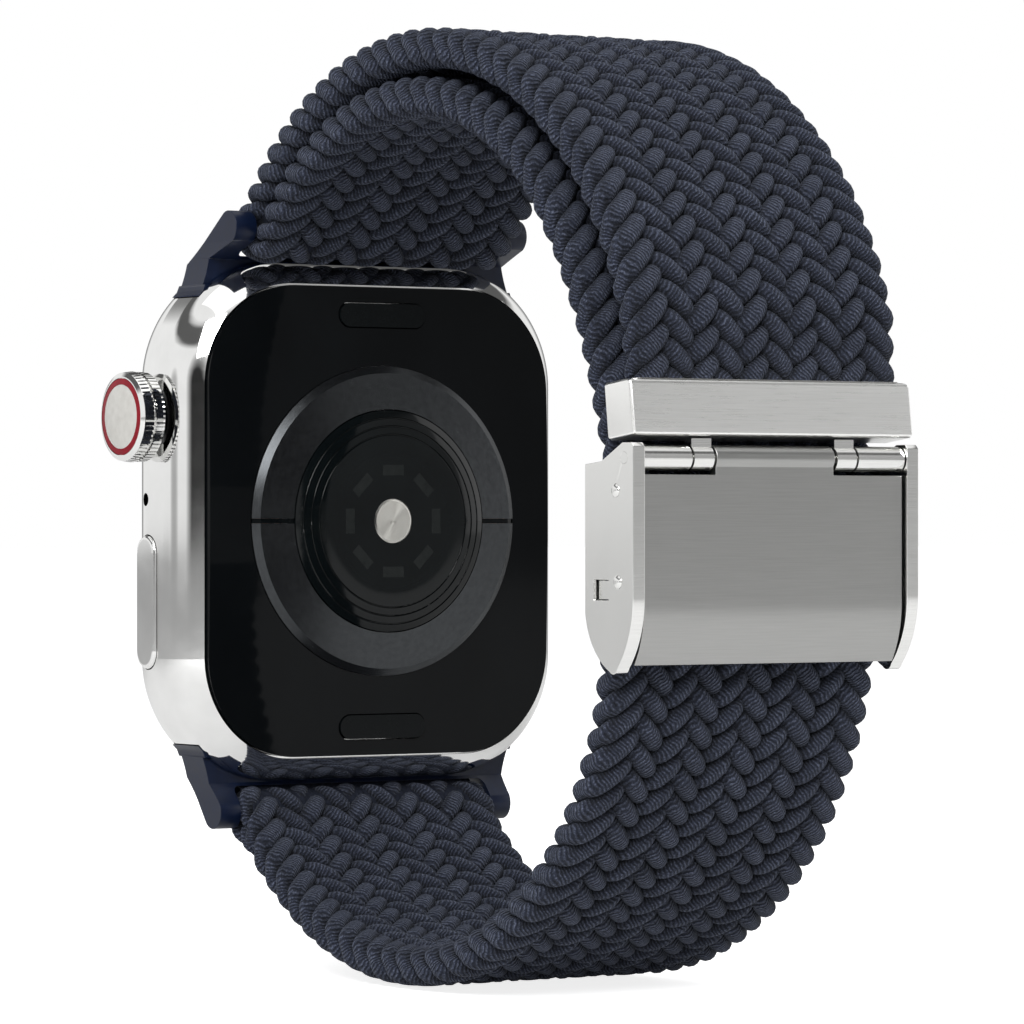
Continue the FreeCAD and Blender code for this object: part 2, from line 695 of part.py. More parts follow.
def make_connector(name, sign, pin):
    """A foot and neck that slide in the case's groove, a strip across it, and two arms for a pin."""
    edge = size("case_height") / 2
    neck_near, neck_far = size("neck_near"), size("neck_far")
    root = (neck_near + 1.8, edge - 0.7)
    tip = (pin[0], abs(pin[1]))
    reach = math.hypot(tip[0] - root[0], tip[1] - root[1])
    along = ((tip[0] - root[0]) / reach, (tip[1] - root[1]) / reach)
    across = (-along[1], along[0])
    if across[0] < 0:
        across = (-across[0], -across[1])
    radius = size("arm_end_radius")
    outer = (tip[0] + radius * across[0], tip[1] + radius * across[1])
    inner = (tip[0] - radius * across[0], tip[1] - radius * across[1])
    end = (tip[0] + radius * along[0], tip[1] + radius * along[1])
    foot_near, foot_far = size("foot_near"), size("foot_far")
    low, high = size("foot_bottom"), size("foot_top")

    def at(point):
        return (point[0], sign * point[1])

    side = profile_along_x(
        name + "_side", at((foot_near, low)),
        [at((foot_far, low)), at((foot_far, high)), at((neck_far, high)), at((neck_far, edge - 0.4)),
         at(outer), (at(end), at(inner)), at((neck_near, edge)), at((neck_near, high)),
         at((foot_near, high)), at((foot_near, low))],
        -18.5, 18.5,
    )
    # Seen from the sensor side: the case's own rounded corners, which flare up into an arm at each end.
    bend = size("case_corner")
    cx, cz = size("case_width") / 2 - bend, edge - bend
    arm_in, arm_out = size("arm_inside"), size("arm_outside")

    def contour_z(x):
        return cz + math.sqrt(bend ** 2 - (x - cx) ** 2)

    def contour_x(z):
        return cx + math.sqrt(bend ** 2 - (z - cz) ** 2)

    lobe, flare = contour_x(low), size("flare_width")
    middle = (lobe + flare) / 2
    strip, top = size("strip_top"), tip[1] + radius + 1.0
    corner, inset = size("strip_corner"), size("strip_corner") * (1 - math.sqrt(0.5))
    waist = (arm_out + 0.3 * (flare - arm_out), (size("flare_top") + contour_z(flare)) / 2)
    body = new_body(name + "_front")
    front = new_sketch(body, name + "_front_outline", "XZ_Plane", -7.4)
    half_outline = [
        (lobe, low), ((middle, contour_z(middle)), (flare, contour_z(flare))),
        (waist, (arm_out, size("flare_top"))), (arm_out, top), (arm_in, top),
        (arm_in, strip + corner), ((arm_in - inset, strip + inset), (arm_in - corner, strip)),
    ]

    def steps_at(steps, side):
        """Outline steps on one side; an arc step is a pair of points."""
        placed = []
        for step in steps:
            if isinstance(step[0], tuple):
                placed.append(tuple(at((side * point[0], point[1])) for point in step))
            else:
                placed.append(at((side * step[0], step[1])))
        return placed

    # The other side runs the same way backwards, so its arcs end where they start on the first side.
    back_outline = [
        (arm_in - corner, strip), ((arm_in - inset, strip + inset), (arm_in, strip + corner)),
        (arm_in, top), (arm_out, top), (arm_out, size("flare_top")),
        (waist, (flare, contour_z(flare))), ((middle, contour_z(middle)), (lobe, low)),
    ]
    draw_loop(front, at((-lobe, low)), steps_at(half_outline, 1) + steps_at(back_outline, -1))
    pad(body, front, name + "_front_pad", "10.0")
    blank = common(name, side, body)
    holes = cylinder_x(
        name + "_pin_holes", -14.25, 14.25, pin[0], pin[1], "Sizes.pin_radius + Sizes.running_gap"
    )
    lock_y = (neck_near + neck_far) / 2
    low_z, high_z = sorted((sign * (low - 1), sign * (low + 2.6)))
    bore = cylinder_z(
        name + "_lock_bore", low_z, high_z, 0, lock_y, "Sizes.lock_pin_radius + Sizes.running_gap"
    )
    subpart(cut(name, blank, holes, bore), name)


def make_connectors():
    make_connector("upper_connector", 1, UPPER_PIN)
    make_connector("lower_connector", -1, LOWER_PIN)
    lock_y = (size("neck_near") + size("neck_far")) / 2
    low = size("foot_bottom")
    for name, sign, pin in (("upper", 1, UPPER_PIN), ("lower", -1, LOWER_PIN)):
        rod = cylinder_x(name + "_strap_pin", -14.2, 14.2, pin[0], pin[1], "pin_radius")
        subpart(rod, name + "_strap_pin")
        low_z, high_z = sorted((sign * (low + 0.05), sign * (low + 2.1)))
        lock = cylinder_z(name + "_lock_pin", low_z, high_z, 0, lock_y, "lock_pin_radius")
        subpart(lock, name + "_lock_pin")


# ------------------------------------------------------------------ strap

FOLD_HEADING = 134.85
TAPER = 4.0
OUTER_LAYER = (31.72, 124.6)
INNER_LAYER = ((26.5, 100.446), (46.281, 20.004))
CLASP_ENTRY = 3.57
CLASP_BEND = (6.0, 14.7)
CLASP_RUN = 7.63
CLASP_EXIT = 1.2
LOWER_RUN = ((29.816, 75.226), (31.671, 57.884))
LOWER_END = 4.0


class Ribbon:
    """A walk along the strap's middle line that keeps the edges left and right of it."""

    def __init__(self, y, z, heading):
        self.y, self.z, self.heading = y, z, math.radians(heading)
        self.left, self.right = [], []

    def beside(self, distance):
        """The point at a distance to the left of the walk."""
        return V(0, self.y - distance * math.sin(self.heading), self.z + distance * math.cos(self.heading))

    def straight(self, length, half_start, half_end):
        a, b = self.beside(half_start), self.beside(-half_start)
        self.y += length * math.cos(self.heading)
        self.z += length * math.sin(self.heading)
        self.left.append(Part.LineSegment(a, self.beside(half_end)).toShape())
        self.right.append(Part.LineSegment(b, self.beside(-half_end)).toShape())

    def arc(self, radius, degrees, half):
        """A left-hand arc at a constant thickness."""
        stations = []
        centre = self.beside(radius)
        start = self.heading
        for share in (0.0, 0.5, 1.0):
            self.heading = start + math.radians(degrees) * share
            self.y = centre.y + radius * math.sin(self.heading)
            self.z = centre.z - radius * math.cos(self.heading)
            stations.append((self.beside(half), self.beside(-half)))
        self.left.append(Part.Arc(*[pair[0] for pair in stations]).toShape())
        self.right.append(Part.Arc(*[pair[1] for pair in stations]).toShape())


def outer_layer(half, fold_half):
    """From the fold at the upper pin, over the top, to the keeper bar."""
    heading = math.radians(FOLD_HEADING)
    fold = size("fold_radius")
    start_y = UPPER_PIN[0] + fold * math.sin(heading)
    start_z = UPPER_PIN[1] - fold * math.cos(heading)
    walk = Ribbon(start_y, start_z, FOLD_HEADING)
    walk.straight(TAPER, fold_half, half)
    walk.arc(OUTER_LAYER[0], OUTER_LAYER[1], half)
    return walk


def inner_layer(half, fold_half, clamped):
    """From the fold, under the outer layer, through the clasp and round to the lower pin."""
    heading = math.radians(FOLD_HEADING)
    fold = size("fold_radius")
    start_y = UPPER_PIN[0] - fold * math.sin(heading)
    start_z = UPPER_PIN[1] + fold * math.cos(heading)
    walk = Ribbon(start_y, start_z, FOLD_HEADING)
    walk.straight(TAPER, fold_half, half)
    for radius, degrees in INNER_LAYER:
        walk.arc(radius, degrees, half)
    walk.straight(CLASP_ENTRY, half, clamped)
    walk.arc(CLASP_BEND[0], CLASP_BEND[1], clamped)
    walk.straight(CLASP_RUN, clamped, clamped)
    walk.straight(CLASP_EXIT, clamped, half)
    for radius, degrees in LOWER_RUN:
        walk.arc(radius, degrees, half)
    walk.straight(LOWER_END, half, half)
    return walk


def make_strap():
    half, fold_half = size("strap_half"), size("fold_half")
    outer = outer_layer(half, fold_half)
    inner = inner_layer(half, fold_half, size("clamped_half"))

    # The fold: a half turn round the upper pin that joins the two layers' ends.
    heading = math.radians(FOLD_HEADING)
    along = V(0, math.cos(heading), math.sin(heading))
    side = V(0, -math.sin(heading), math.cos(heading))
    pin = V(0, UPPER_PIN[0], UPPER_PIN[1])
    fold = size("fold_radius")
    bends = []
    for radius in (fold + fold_half, fold - fold_half):
        bends.append(Part.Arc(pin - side * radius, pin - along * radius, pin + side * radius).toShape())

    # The outer layer's end is pressed thin and held in the keeper bar.
    tab_outer, tab_inner, tab_low = -55.1, -53.3, 7.7
    a, b = outer.beside(half), outer.beside(-half)
    points = [
        b, V(0, tab_outer, b.z - 1.5), V(0, tab_outer, tab_low), V(0, tab_inner, tab_low),
        V(0, tab_inner, a.z - 0.9), a,
    ]
    tab = [Part.LineSegment(p, q).toShape() for p, q in zip(points, points[1:])]
    end = [Part.LineSegment(inner.beside(half), inner.beside(-half)).toShape()]
    edges = outer.left + outer.right + bends + tab + inner.left + inner.right + end
    wires = [Part.Wire(group) for group in Part.sortEdges([edge for edge in edges if edge.Length > 1e-6])]
    if len(wires) != 1:
        raise RuntimeError("the strap's outline falls into %d wires" % len(wires))
    width = size("strap_width")
    band = Part.Face(wires[0]).extrude(V(width, 0, 0))
    band.translate(V(-width / 2, 0, 0))
    eye = Part.makeCylinder(size("eye_radius"), width, V(-width / 2, *LOWER_PIN), V(1, 0, 0))
    hole = Part.makeCylinder(size("pin_radius") + 0.1, width + 2, V(-width / 2 - 1, *LOWER_PIN), V(1, 0, 0))
    strap = doc.addObject("Part::Feature", "braided_strap")
    strap.Shape = band.fuse(eye).cut(hole).removeSplitter()
    subpart(strap, "braided_strap")
    print("strap end %.2f %.2f, pin %.2f %.2f" % (inner.y, inner.z, *LOWER_PIN))


# ------------------------------------------------------------------ clasp

HINGE = (size("hinge_depth"), size("hinge_height"))
UPPER_CROSS_PIN = (-54.1, 2.3)
LOWER_CROSS_PIN = (-54.4, -4.6)
TAB_CENTRE = (-52.2, -5.2)


def make_side_plates():
    inside, thick = size("plate_inside"), size("plate_thickness")
    for name, low in (("left", -inside - thick), ("right", inside)):
        body = profile_along_x(
            "side_plate_blank_" + name, (-50.1, 4.3),
            [(-50.1, -7.0), ((-51.4, -9.9), (-53.3, -11.35)), ((-54.0, -11.5), (-54.4, -11.1)),
             ((-55.9, -8.6), (-56.4, -5.8)), (-56.4, 5.6), (-56.1, 5.9), (-55.0, 5.9), (-52.2, 4.5),
             (-50.1, 4.3)],
            low, low + thick,
        )
        holes = [
            cylinder_x("plate_hole_%s_%d" % (name, number), low - 1, low + thick + 1, y, z, radius)
            for number, (y, z, radius) in enumerate(
                ((*UPPER_CROSS_PIN, "clasp_pin_radius"), (*LOWER_CROSS_PIN, "clasp_pin_radius"),
                 (*HINGE, "hinge_pin_radius"))
            )
        ]
        slot = block("plate_slot_" + name, (low - 1, -53.2, -5.98), (low + thick + 1, -51.2, -4.42))
        subpart(cut("clasp_side_plate_" + name, body, *holes, slot), "clasp_side_plate_" + name)


def make_back_plate():
    inside = size("plate_inside")
    plate = block("back_plate_sheet", (-inside, -50.45, -5.0), (inside, -50.1, 4.1))
    parts = [plate]
    for name, sign in (("left", -1), ("right", 1)):
        low, high = sorted((sign * (inside - 0.25), sign * inside))
        parts.append(block("back_plate_flange_" + name, (low, -53.0, -5.9), (high, -50.1, -4.5)))
        low, high = sorted((sign * (inside - 0.25), sign * (inside + 0.7)))
        parts.append(block("back_plate_tab_" + name, (low, -53.0, -5.9), (high, -51.4, -4.5)))
    subpart(fuse("clasp_back_plate", *parts), "clasp_back_plate")


def make_clasp_pins():
    """Two cross pins with domed ends, and the flush hinge pin."""
    far = size("plate_inside") + size("plate_thickness")
    radius, dome, flat = size("clasp_pin_radius"), size("pin_dome"), 0.15
    shoulder = (0.75 * radius, far + 0.6 * dome)
    for name, (y, z) in (("clasp_upper_pin", UPPER_CROSS_PIN), ("clasp_lower_pin", LOWER_CROSS_PIN)):
        pin = revolved(
            name, (0, -far - dome),
            [(flat, -far - dome), ((shoulder[0], -shoulder[1]), (radius, -far)), (radius, far),
             (shoulder, (flat, far + dome)), (0, far + dome), (0, -far - dome)],
        )
        pin.Placement = FreeCAD.Placement(V(0, y, z), FreeCAD.Rotation(V(0, 0, 1), 90))
        subpart(pin, name)
    subpart(cylinder_x("clasp_hinge_pin", -far, far, *HINGE, "hinge_pin_radius"), "clasp_hinge_pin")


def barrel(name, low, high):
    """A sleeve round the hinge pin."""
    tube = cylinder_x(name + "_tube", low, high, *HINGE, "hinge_barrel_radius")
    hole = cylinder_x(name + "_bore", low - 1, high + 1, *HINGE, "Sizes.hinge_pin_radius + Sizes.running_gap")
    return tube, hole


def make_hinge_sleeves():
    for name, low, high in (("left", -12.35, -7.9), ("right", 7.9, 12.35)):
        label = "clasp_hinge_sleeve_" + name
        subpart(cut(label, *barrel(label, low, high)), label)


def make_keeper():
    """A leaning bar that holds the strap's end, on two links to the hinge pin."""
    reach = size("keeper_half_width")
    body = profile_along_x(
        "keeper_blank", (-52.6, 6.35),
        [(-52.6, 10.7), (-55.8, 10.7), (-56.2, 10.4), (-56.2, 6.35), (-52.6, 6.35)], -reach, reach,
    )
    lean = FreeCAD.Rotation(V(1, 0, 0), -size("keeper_lean"))
    foot = V(0, -55.2, 6.35)
    slot = block("keeper_slot", (-12.4, -55.25, 7.5), (12.4, -53.1, 12.5))
    leaning = doc.addObject("Part::Feature", "keeper_leaning")
    leaning.Shape = body.Shape.copy()
    back = FreeCAD.Placement(foot * -1, FreeCAD.Rotation())
    leaning.Placement = FreeCAD.Placement(foot, lean).multiply(back)
    subpart(cut("keeper_bar", leaning, slot), "keeper_bar")
    for name, low, high in (("left", -7.7, -5.85), ("right", 5.85, 7.7)):
        label = "keeper_link_" + name
        tube, hole = barrel(label, low, high)
        arm = block(label + "_arm", (low, -55.75, 5.0), (high, -54.75, 6.25))
        subpart(cut(label, fuse(label, tube, arm), hole), label)


def make_cover():
    """The outer flap of the clasp, with a knuckle on the hinge pin, a toothed jaw and a latch."""
    half, thick = size("cover_half_width"), size("cover_thickness")
    outer, inner = -56.0, -56.0 + thick
    flap = profile_along_x(
        "cover_flap", (inner, 3.5),
        [(inner, -5.8), ((-54.95, -8.4), (-54.1, -10.4)), (-54.75, -10.9),
         ((-55.75, -8.5), (outer, -6.0)), (outer, 3.5), (inner, 3.5)],
        -half, half,
    )
    knuckle = size("knuckle_half_width")
    tube, hole = barrel("cover_knuckle", -knuckle, knuckle)
    web = block("cover_web", (-knuckle, outer, 3.2), (knuckle, inner, HINGE[1]))
    subpart(cut("clasp_cover", fuse("clasp_cover", flap, tube, web), hole), "clasp_cover")
    teeth = []
    low, pitch, tip, root = -3.4, 1.15, -53.4, -54.0
    for number in range(4):
        z = low + number * pitch
        teeth.extend([(tip, z + pitch / 2), (root, z + pitch)])
    jaw = profile_along_x(
        "clasp_jaw", (inner, low), [(root, low)] + teeth + [(inner, low + 4 * pitch), (inner, low)],
        -10.5, 10.5,
    )
    subpart(jaw, "clasp_jaw")
    latch = block("clasp_latch_spring", (-6, -55.2, -6.4), (6, -54.98, -3.6))
    subpart(latch, "clasp_latch_spring")


# ------------------------------------------------------------------ the whole watch

make_housing()
make_display()
make_rear_cover()
make_sensor()
make_electronics()
make_crown()
make_side_button()
make_release_buttons()
make_connectors()
make_strap()
make_side_plates()
make_back_plate()
make_clasp_pins()
make_hinge_sleeves()
make_keeper()
make_cover()
doc.recompute()

failed = [item.Name for item in doc.Objects if "Invalid" in item.State or "Error" in item.State]
if failed:
    raise RuntimeError("failed objects: " + ", ".join(failed))
for item in SUBPARTS:
    if item.Shape.isNull() or not item.Shape.isValid() or not item.Shape.Solids:
        raise RuntimeError("bad shape: " + item.Label)

# The origin goes under the middle of the whole object.
whole = FreeCAD.BoundBox()
for item in SUBPARTS:
    whole.add(item.Shape.optimalBoundingBox(False))
shift = V(-(whole.XMin + whole.XMax) / 2, -(whole.YMin + whole.YMax) / 2, -whole.ZMin)
os.makedirs("parts", exist_ok=True)
for item in SUBPARTS:
    item.Placement = FreeCAD.Placement(shift, FreeCAD.Rotation()).multiply(item.Placement)
doc.recompute()
for item in SUBPARTS:
    item.Shape.exportStep(os.path.join("parts", item.Label + ".step"))
print("sub-parts %d, shift %.3f %.3f %.3f" % (len(SUBPARTS), shift.x, shift.y, shift.z))
print("box %.2f x %.2f x %.2f" % (whole.XLength, whole.YLength, whole.ZLength))
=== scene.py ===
import json
import math

import bmesh
import bpy
import numpy as np
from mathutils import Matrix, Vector


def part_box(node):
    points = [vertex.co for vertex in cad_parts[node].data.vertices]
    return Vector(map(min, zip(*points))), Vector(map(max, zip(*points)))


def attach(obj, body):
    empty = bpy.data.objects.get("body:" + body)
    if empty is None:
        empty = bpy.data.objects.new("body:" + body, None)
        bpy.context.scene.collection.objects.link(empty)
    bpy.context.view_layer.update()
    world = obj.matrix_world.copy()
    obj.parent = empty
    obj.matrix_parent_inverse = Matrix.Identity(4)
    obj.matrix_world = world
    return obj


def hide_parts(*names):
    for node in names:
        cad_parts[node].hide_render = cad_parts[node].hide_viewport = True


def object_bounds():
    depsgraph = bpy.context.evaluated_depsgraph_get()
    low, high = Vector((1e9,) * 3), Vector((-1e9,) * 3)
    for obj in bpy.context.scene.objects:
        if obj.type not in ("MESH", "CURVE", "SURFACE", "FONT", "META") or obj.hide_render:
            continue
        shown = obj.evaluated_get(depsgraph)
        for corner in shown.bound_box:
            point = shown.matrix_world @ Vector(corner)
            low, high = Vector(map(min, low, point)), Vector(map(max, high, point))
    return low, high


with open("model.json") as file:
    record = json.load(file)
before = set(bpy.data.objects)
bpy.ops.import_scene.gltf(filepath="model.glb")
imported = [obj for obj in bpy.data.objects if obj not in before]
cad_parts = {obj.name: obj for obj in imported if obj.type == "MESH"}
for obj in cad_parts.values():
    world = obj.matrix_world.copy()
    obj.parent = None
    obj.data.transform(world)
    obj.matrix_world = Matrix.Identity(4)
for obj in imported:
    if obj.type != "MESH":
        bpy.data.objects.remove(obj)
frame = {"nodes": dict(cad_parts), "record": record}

# A smartwatch on a braided strap, in metres. Sizes below are in millimetres, in the frame that the
# watch is drawn in: the case's centre at x = z = 0, the rear cover's rim at y = 0. ORIGIN moves
# them into the model's frame.

MM = 0.001
cad_low, cad_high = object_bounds()
nodes = frame["nodes"]

# Where the front glass ends in the drawing frame, which places that frame in depth.
GLASS_FRONT = 11.5
case_low, case_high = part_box("case_housing")
ORIGIN = Vector((
    (case_low.x + case_high.x) / 2,
    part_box("front_glass")[1].y - GLASS_FRONT * MM,
    (case_low.z + case_high.z) / 2,
))


def place(x, y, z):
    """A point of the drawing frame, in millimetres, in the model's frame, in metres."""
    return ORIGIN + Vector((x, y, z)) * MM


# ------------------------------------------------------------------ camera

# The camera looks level, this many degrees from +y towards +x. It stands back from the middle of
# the case, and a little to its own right, in millimetres. The lens is in millimetres too.
CAMERA_AZIMUTH = 34.0
CAMERA_DISTANCE = 457.8
CAMERA_SIDE = 11.26
LENS = 189.84
SENSOR_WIDTH = 36.0
HORIZON_SHIFT = 0.0088
CLIP_NEAR = 0.01
CLIP_FAR = 20.0


def make_camera():
    """Level with the case's middle, behind and to the crown's side of it."""
    turn = math.radians(CAMERA_AZIMUTH)
    forward = Vector((math.sin(turn), math.cos(turn), 0))
    right = Vector((math.cos(turn), -math.sin(turn), 0))
    data = bpy.data.cameras.new("camera")
    data.lens = LENS
    data.sensor_width = SENSOR_WIDTH
    data.shift_y = HORIZON_SHIFT
    data.clip_start = CLIP_NEAR
    data.clip_end = CLIP_FAR
    camera = bpy.data.objects.new("camera", data)
    bpy.context.scene.collection.objects.link(camera)
    camera.location = place(0, 0, 0) + (right * CAMERA_SIDE - forward * CAMERA_DISTANCE) * MM
    camera.rotation_euler = (math.radians(90), 0, -turn)
    bpy.context.scene.camera = camera


# ------------------------------------------------------------------ materials

# How deep each kind of surface relief is, in metres.
SCRATCH_DEPTH = 0.000006
GRAIN_DEPTH = 0.00001
KNIT_DEPTH = 0.00015


def new_material(name):
    """A material with its node tree and its shader."""
    material = bpy.data.materials.new(name)
    material.use_nodes = True
    tree = material.node_tree
    return material, tree, tree.nodes["Principled BSDF"]


def add(tree, kind, **inputs):
    """A node with some inputs set, by name."""
    node = tree.nodes.new(kind)
    for name, value in inputs.items():
        node.inputs[name.replace("_", " ")].default_value = value
    return node


def math_node(tree, operation, a, b=None, c=None):
    """The result of a sum on up to three values, each a number or another node's output."""
    node = tree.nodes.new("ShaderNodeMath")
    node.operation = operation
    for slot, value in enumerate((a, b, c)):
        if value is None:
            continue
        if isinstance(value, (int, float)):
            node.inputs[slot].default_value = value
        else:
            tree.links.new(value, node.inputs[slot])
    return node.outputs[0]


def ramp(tree, value, stops):
    """A colour ramp; each stop is (position, (r, g, b))."""
    node = tree.nodes.new("ShaderNodeValToRGB")
    elements = node.color_ramp.elements
    while len(elements) < len(stops):
        elements.new(0.5)
    for element, (position, colour) in zip(elements, stops):
        element.position = position
        element.color = (*colour, 1)
    tree.links.new(value, node.inputs[0])
    return node.outputs[0]


def colour_between(tree, shader, value, low, high, dark, light):
    """Base colour from dark to light, as the value goes from low to high."""
    tree.links.new(ramp(tree, value, [(low, dark), (high, light)]), shader.inputs["Base Color"])


def rough_between(tree, shader, value, low, high):
    """Roughness from low to high, as the value goes from 0 to 1."""
    rough = math_node(tree, "MULTIPLY_ADD", value, high - low, low)
    tree.links.new(rough, shader.inputs["Roughness"])


def bump(tree, height, strength, distance, shader):
    """Surface relief from a height."""
    node = add(tree, "ShaderNodeBump", Strength=strength, Distance=distance)
    tree.links.new(height, node.inputs["Height"])
    tree.links.new(node.outputs[0], shader.inputs["Normal"])


def object_coordinates(tree, scale=(1, 1, 1)):
    """Model coordinates in millimetres, stretched by a scale."""
    source = tree.nodes.new("ShaderNodeTexCoord")
    mapping = tree.nodes.new("ShaderNodeMapping")
    mapping.inputs["Scale"].default_value = [value / MM for value in scale]
    tree.links.new(source.outputs["Object"], mapping.inputs["Vector"])
    return mapping.outputs[0]


def noise(tree, vector, scale, detail=3.0):
    """Cloudy noise from 0 to 1."""
    node = add(tree, "ShaderNodeTexNoise", Scale=scale, Detail=detail)
    tree.links.new(vector, node.inputs["Vector"])
    return node.outputs["Fac"]


def polished_steel():
    """Mirror steel with the faintest haze and polishing ripple."""
    material, tree, shader = new_material("polished_steel")
    vector = object_coordinates(tree)
    haze = noise(tree, vector, 0.35, 5.0)
    colour_between(tree, shader, haze, 0.3, 0.7, (0.80, 0.80, 0.79), (0.86, 0.86, 0.85))
    shader.inputs["Metallic"].default_value = 1.0
    rough_between(tree, shader, haze, 0.035, 0.085)
    return material


def satin_steel(name, tint, rough_low, rough_high, grain):
    """Steel brushed along x: long fine scratches, with a soft spread of gloss."""
    material, tree, shader = new_material(name)
    scratches = noise(tree, object_coordinates(tree, (0.25, 14.0, 14.0)), 1.0, 6.0)
    cloud = noise(tree, object_coordinates(tree), 0.22, 3.0)
    dark, light = ((tint * level, tint * level, tint * level * 0.98) for level in (0.94, 1.06))
    colour_between(tree, shader, scratches, 0.25, 0.75, dark, light)
    shader.inputs["Metallic"].default_value = 1.0
    fine = math_node(tree, "MULTIPLY", scratches, 0.7)
    broad = math_node(tree, "MULTIPLY", cloud, 0.3)
    rough_between(tree, shader, math_node(tree, "ADD", fine, broad), rough_low, rough_high)
    bump(tree, scratches, grain, SCRATCH_DEPTH, shader)
    return material


def black_glass():
    """Deep black glass with a faint smear in its gloss."""
    material, tree, shader = new_material("black_glass")
    smear = noise(tree, object_coordinates(tree, (1, 1, 0.5)), 0.12, 4.0)
    colour_between(tree, shader, smear, 0.3, 0.7, (0.0025, 0.003, 0.0035), (0.004, 0.0048, 0.0055))
    rough_between(tree, shader, smear, 0.02, 0.07)
    shader.inputs["Specular IOR Level"].default_value = 0.10
    return material


def sensor_crystal():
    """Near-black crystal, a little bluer than the glass round it."""
    material, tree, shader = new_material("sensor_crystal")
    smear = noise(tree, object_coordinates(tree), 0.2, 3.0)
    colour_between(tree, shader, smear, 0.3, 0.7, (0.002, 0.003, 0.0035), (0.0035, 0.005, 0.0055))
    rough_between(tree, shader, smear, 0.05, 0.11)
    shader.inputs["Specular IOR Level"].default_value = 0.25
    return material


def electrode():
    """A dark vapour-coated metal ring, satin, with a fine turned grain."""
    material, tree, shader = new_material("electrode")
    grain = noise(tree, object_coordinates(tree, (1, 6, 1)), 2.0, 5.0)
    colour_between(tree, shader, grain, 0.3, 0.7, (0.044, 0.047, 0.050), (0.058, 0.062, 0.066))
    shader.inputs["Metallic"].default_value = 0.9
    rough_between(tree, shader, grain, 0.2, 0.3)
    return material


# How deep the centre lens's face lies in the drawing frame.
LENS_FACE = -2.2


def lens_metal():
    """A small turned disc whose grain runs round its centre, so that it shines in a fan."""
    material, tree, shader = new_material("lens_metal")
    rings = tree.nodes.new("ShaderNodeTexWave")
    rings.wave_type = "RINGS"
    rings.rings_direction = "SPHERICAL"
    rings.inputs["Scale"].default_value = 4.5
    source = tree.nodes.new("ShaderNodeTexCoord")
    mapping = tree.nodes.new("ShaderNodeMapping")
    mapping.inputs["Location"].default_value = [-value / MM for value in place(0, LENS_FACE, 0)]
    mapping.inputs["Scale"].default_value = (1 / MM,) * 3
    tree.links.new(source.outputs["Object"], mapping.inputs["Vector"])
    tree.links.new(mapping.outputs[0], rings.inputs["Vector"])
    turned = rings.outputs["Fac"]
    colour_between(tree, shader, turned, 0.2, 0.8, (0.55, 0.54, 0.50), (0.72, 0.71, 0.67))
    shader.inputs["Metallic"].default_value = 1.0
    rough_between(tree, shader, turned, 0.34, 0.40)
    shader.inputs["Anisotropic"].default_value = 0.85
    tangent = tree.nodes.new("ShaderNodeTangent")
    tangent.direction_type = "RADIAL"
    tangent.axis = "Y"
    tree.links.new(tangent.outputs[0], shader.inputs["Tangent"])
    return material


def plastic(name, dark, light, rough_low, rough_high, scale=1.5, grain=0.15, specular=0.5):
    """Moulded plastic, rubber or coated parts: a soft colour spread and a fine moulded grain."""
    material, tree, shader = new_material(name)
    vector = object_coordinates(tree)
    cloud = noise(tree, vector, scale, 4.0)
    fine = noise(tree, vector, 9.0, 2.0)
    colour_between(tree, shader, cloud, 0.3, 0.7, dark, light)
    rough_between(tree, shader, cloud, rough_low, rough_high)
    shader.inputs["Specular IOR Level"].default_value = specular
    bump(tree, fine, grain, GRAIN_DEPTH, shader)
    return material


def metal(name, dark, light, rough_low, rough_high):
    """Plain metal of a part inside the case, a little cloudy."""
    material, tree, shader = new_material(name)
    cloud = noise(tree, object_coordinates(tree), 2.0, 5.0)
    colour_between(tree, shader, cloud, 0.3, 0.7, dark, light)
    shader.inputs["Metallic"].default_value = 1.0
    rough_between(tree, shader, cloud, rough_low, rough_high)
    return material


# The cord's knit: millimetres from rib to rib, and wales round the cord.
RIB_PITCH = 0.24
WALES = 5.0


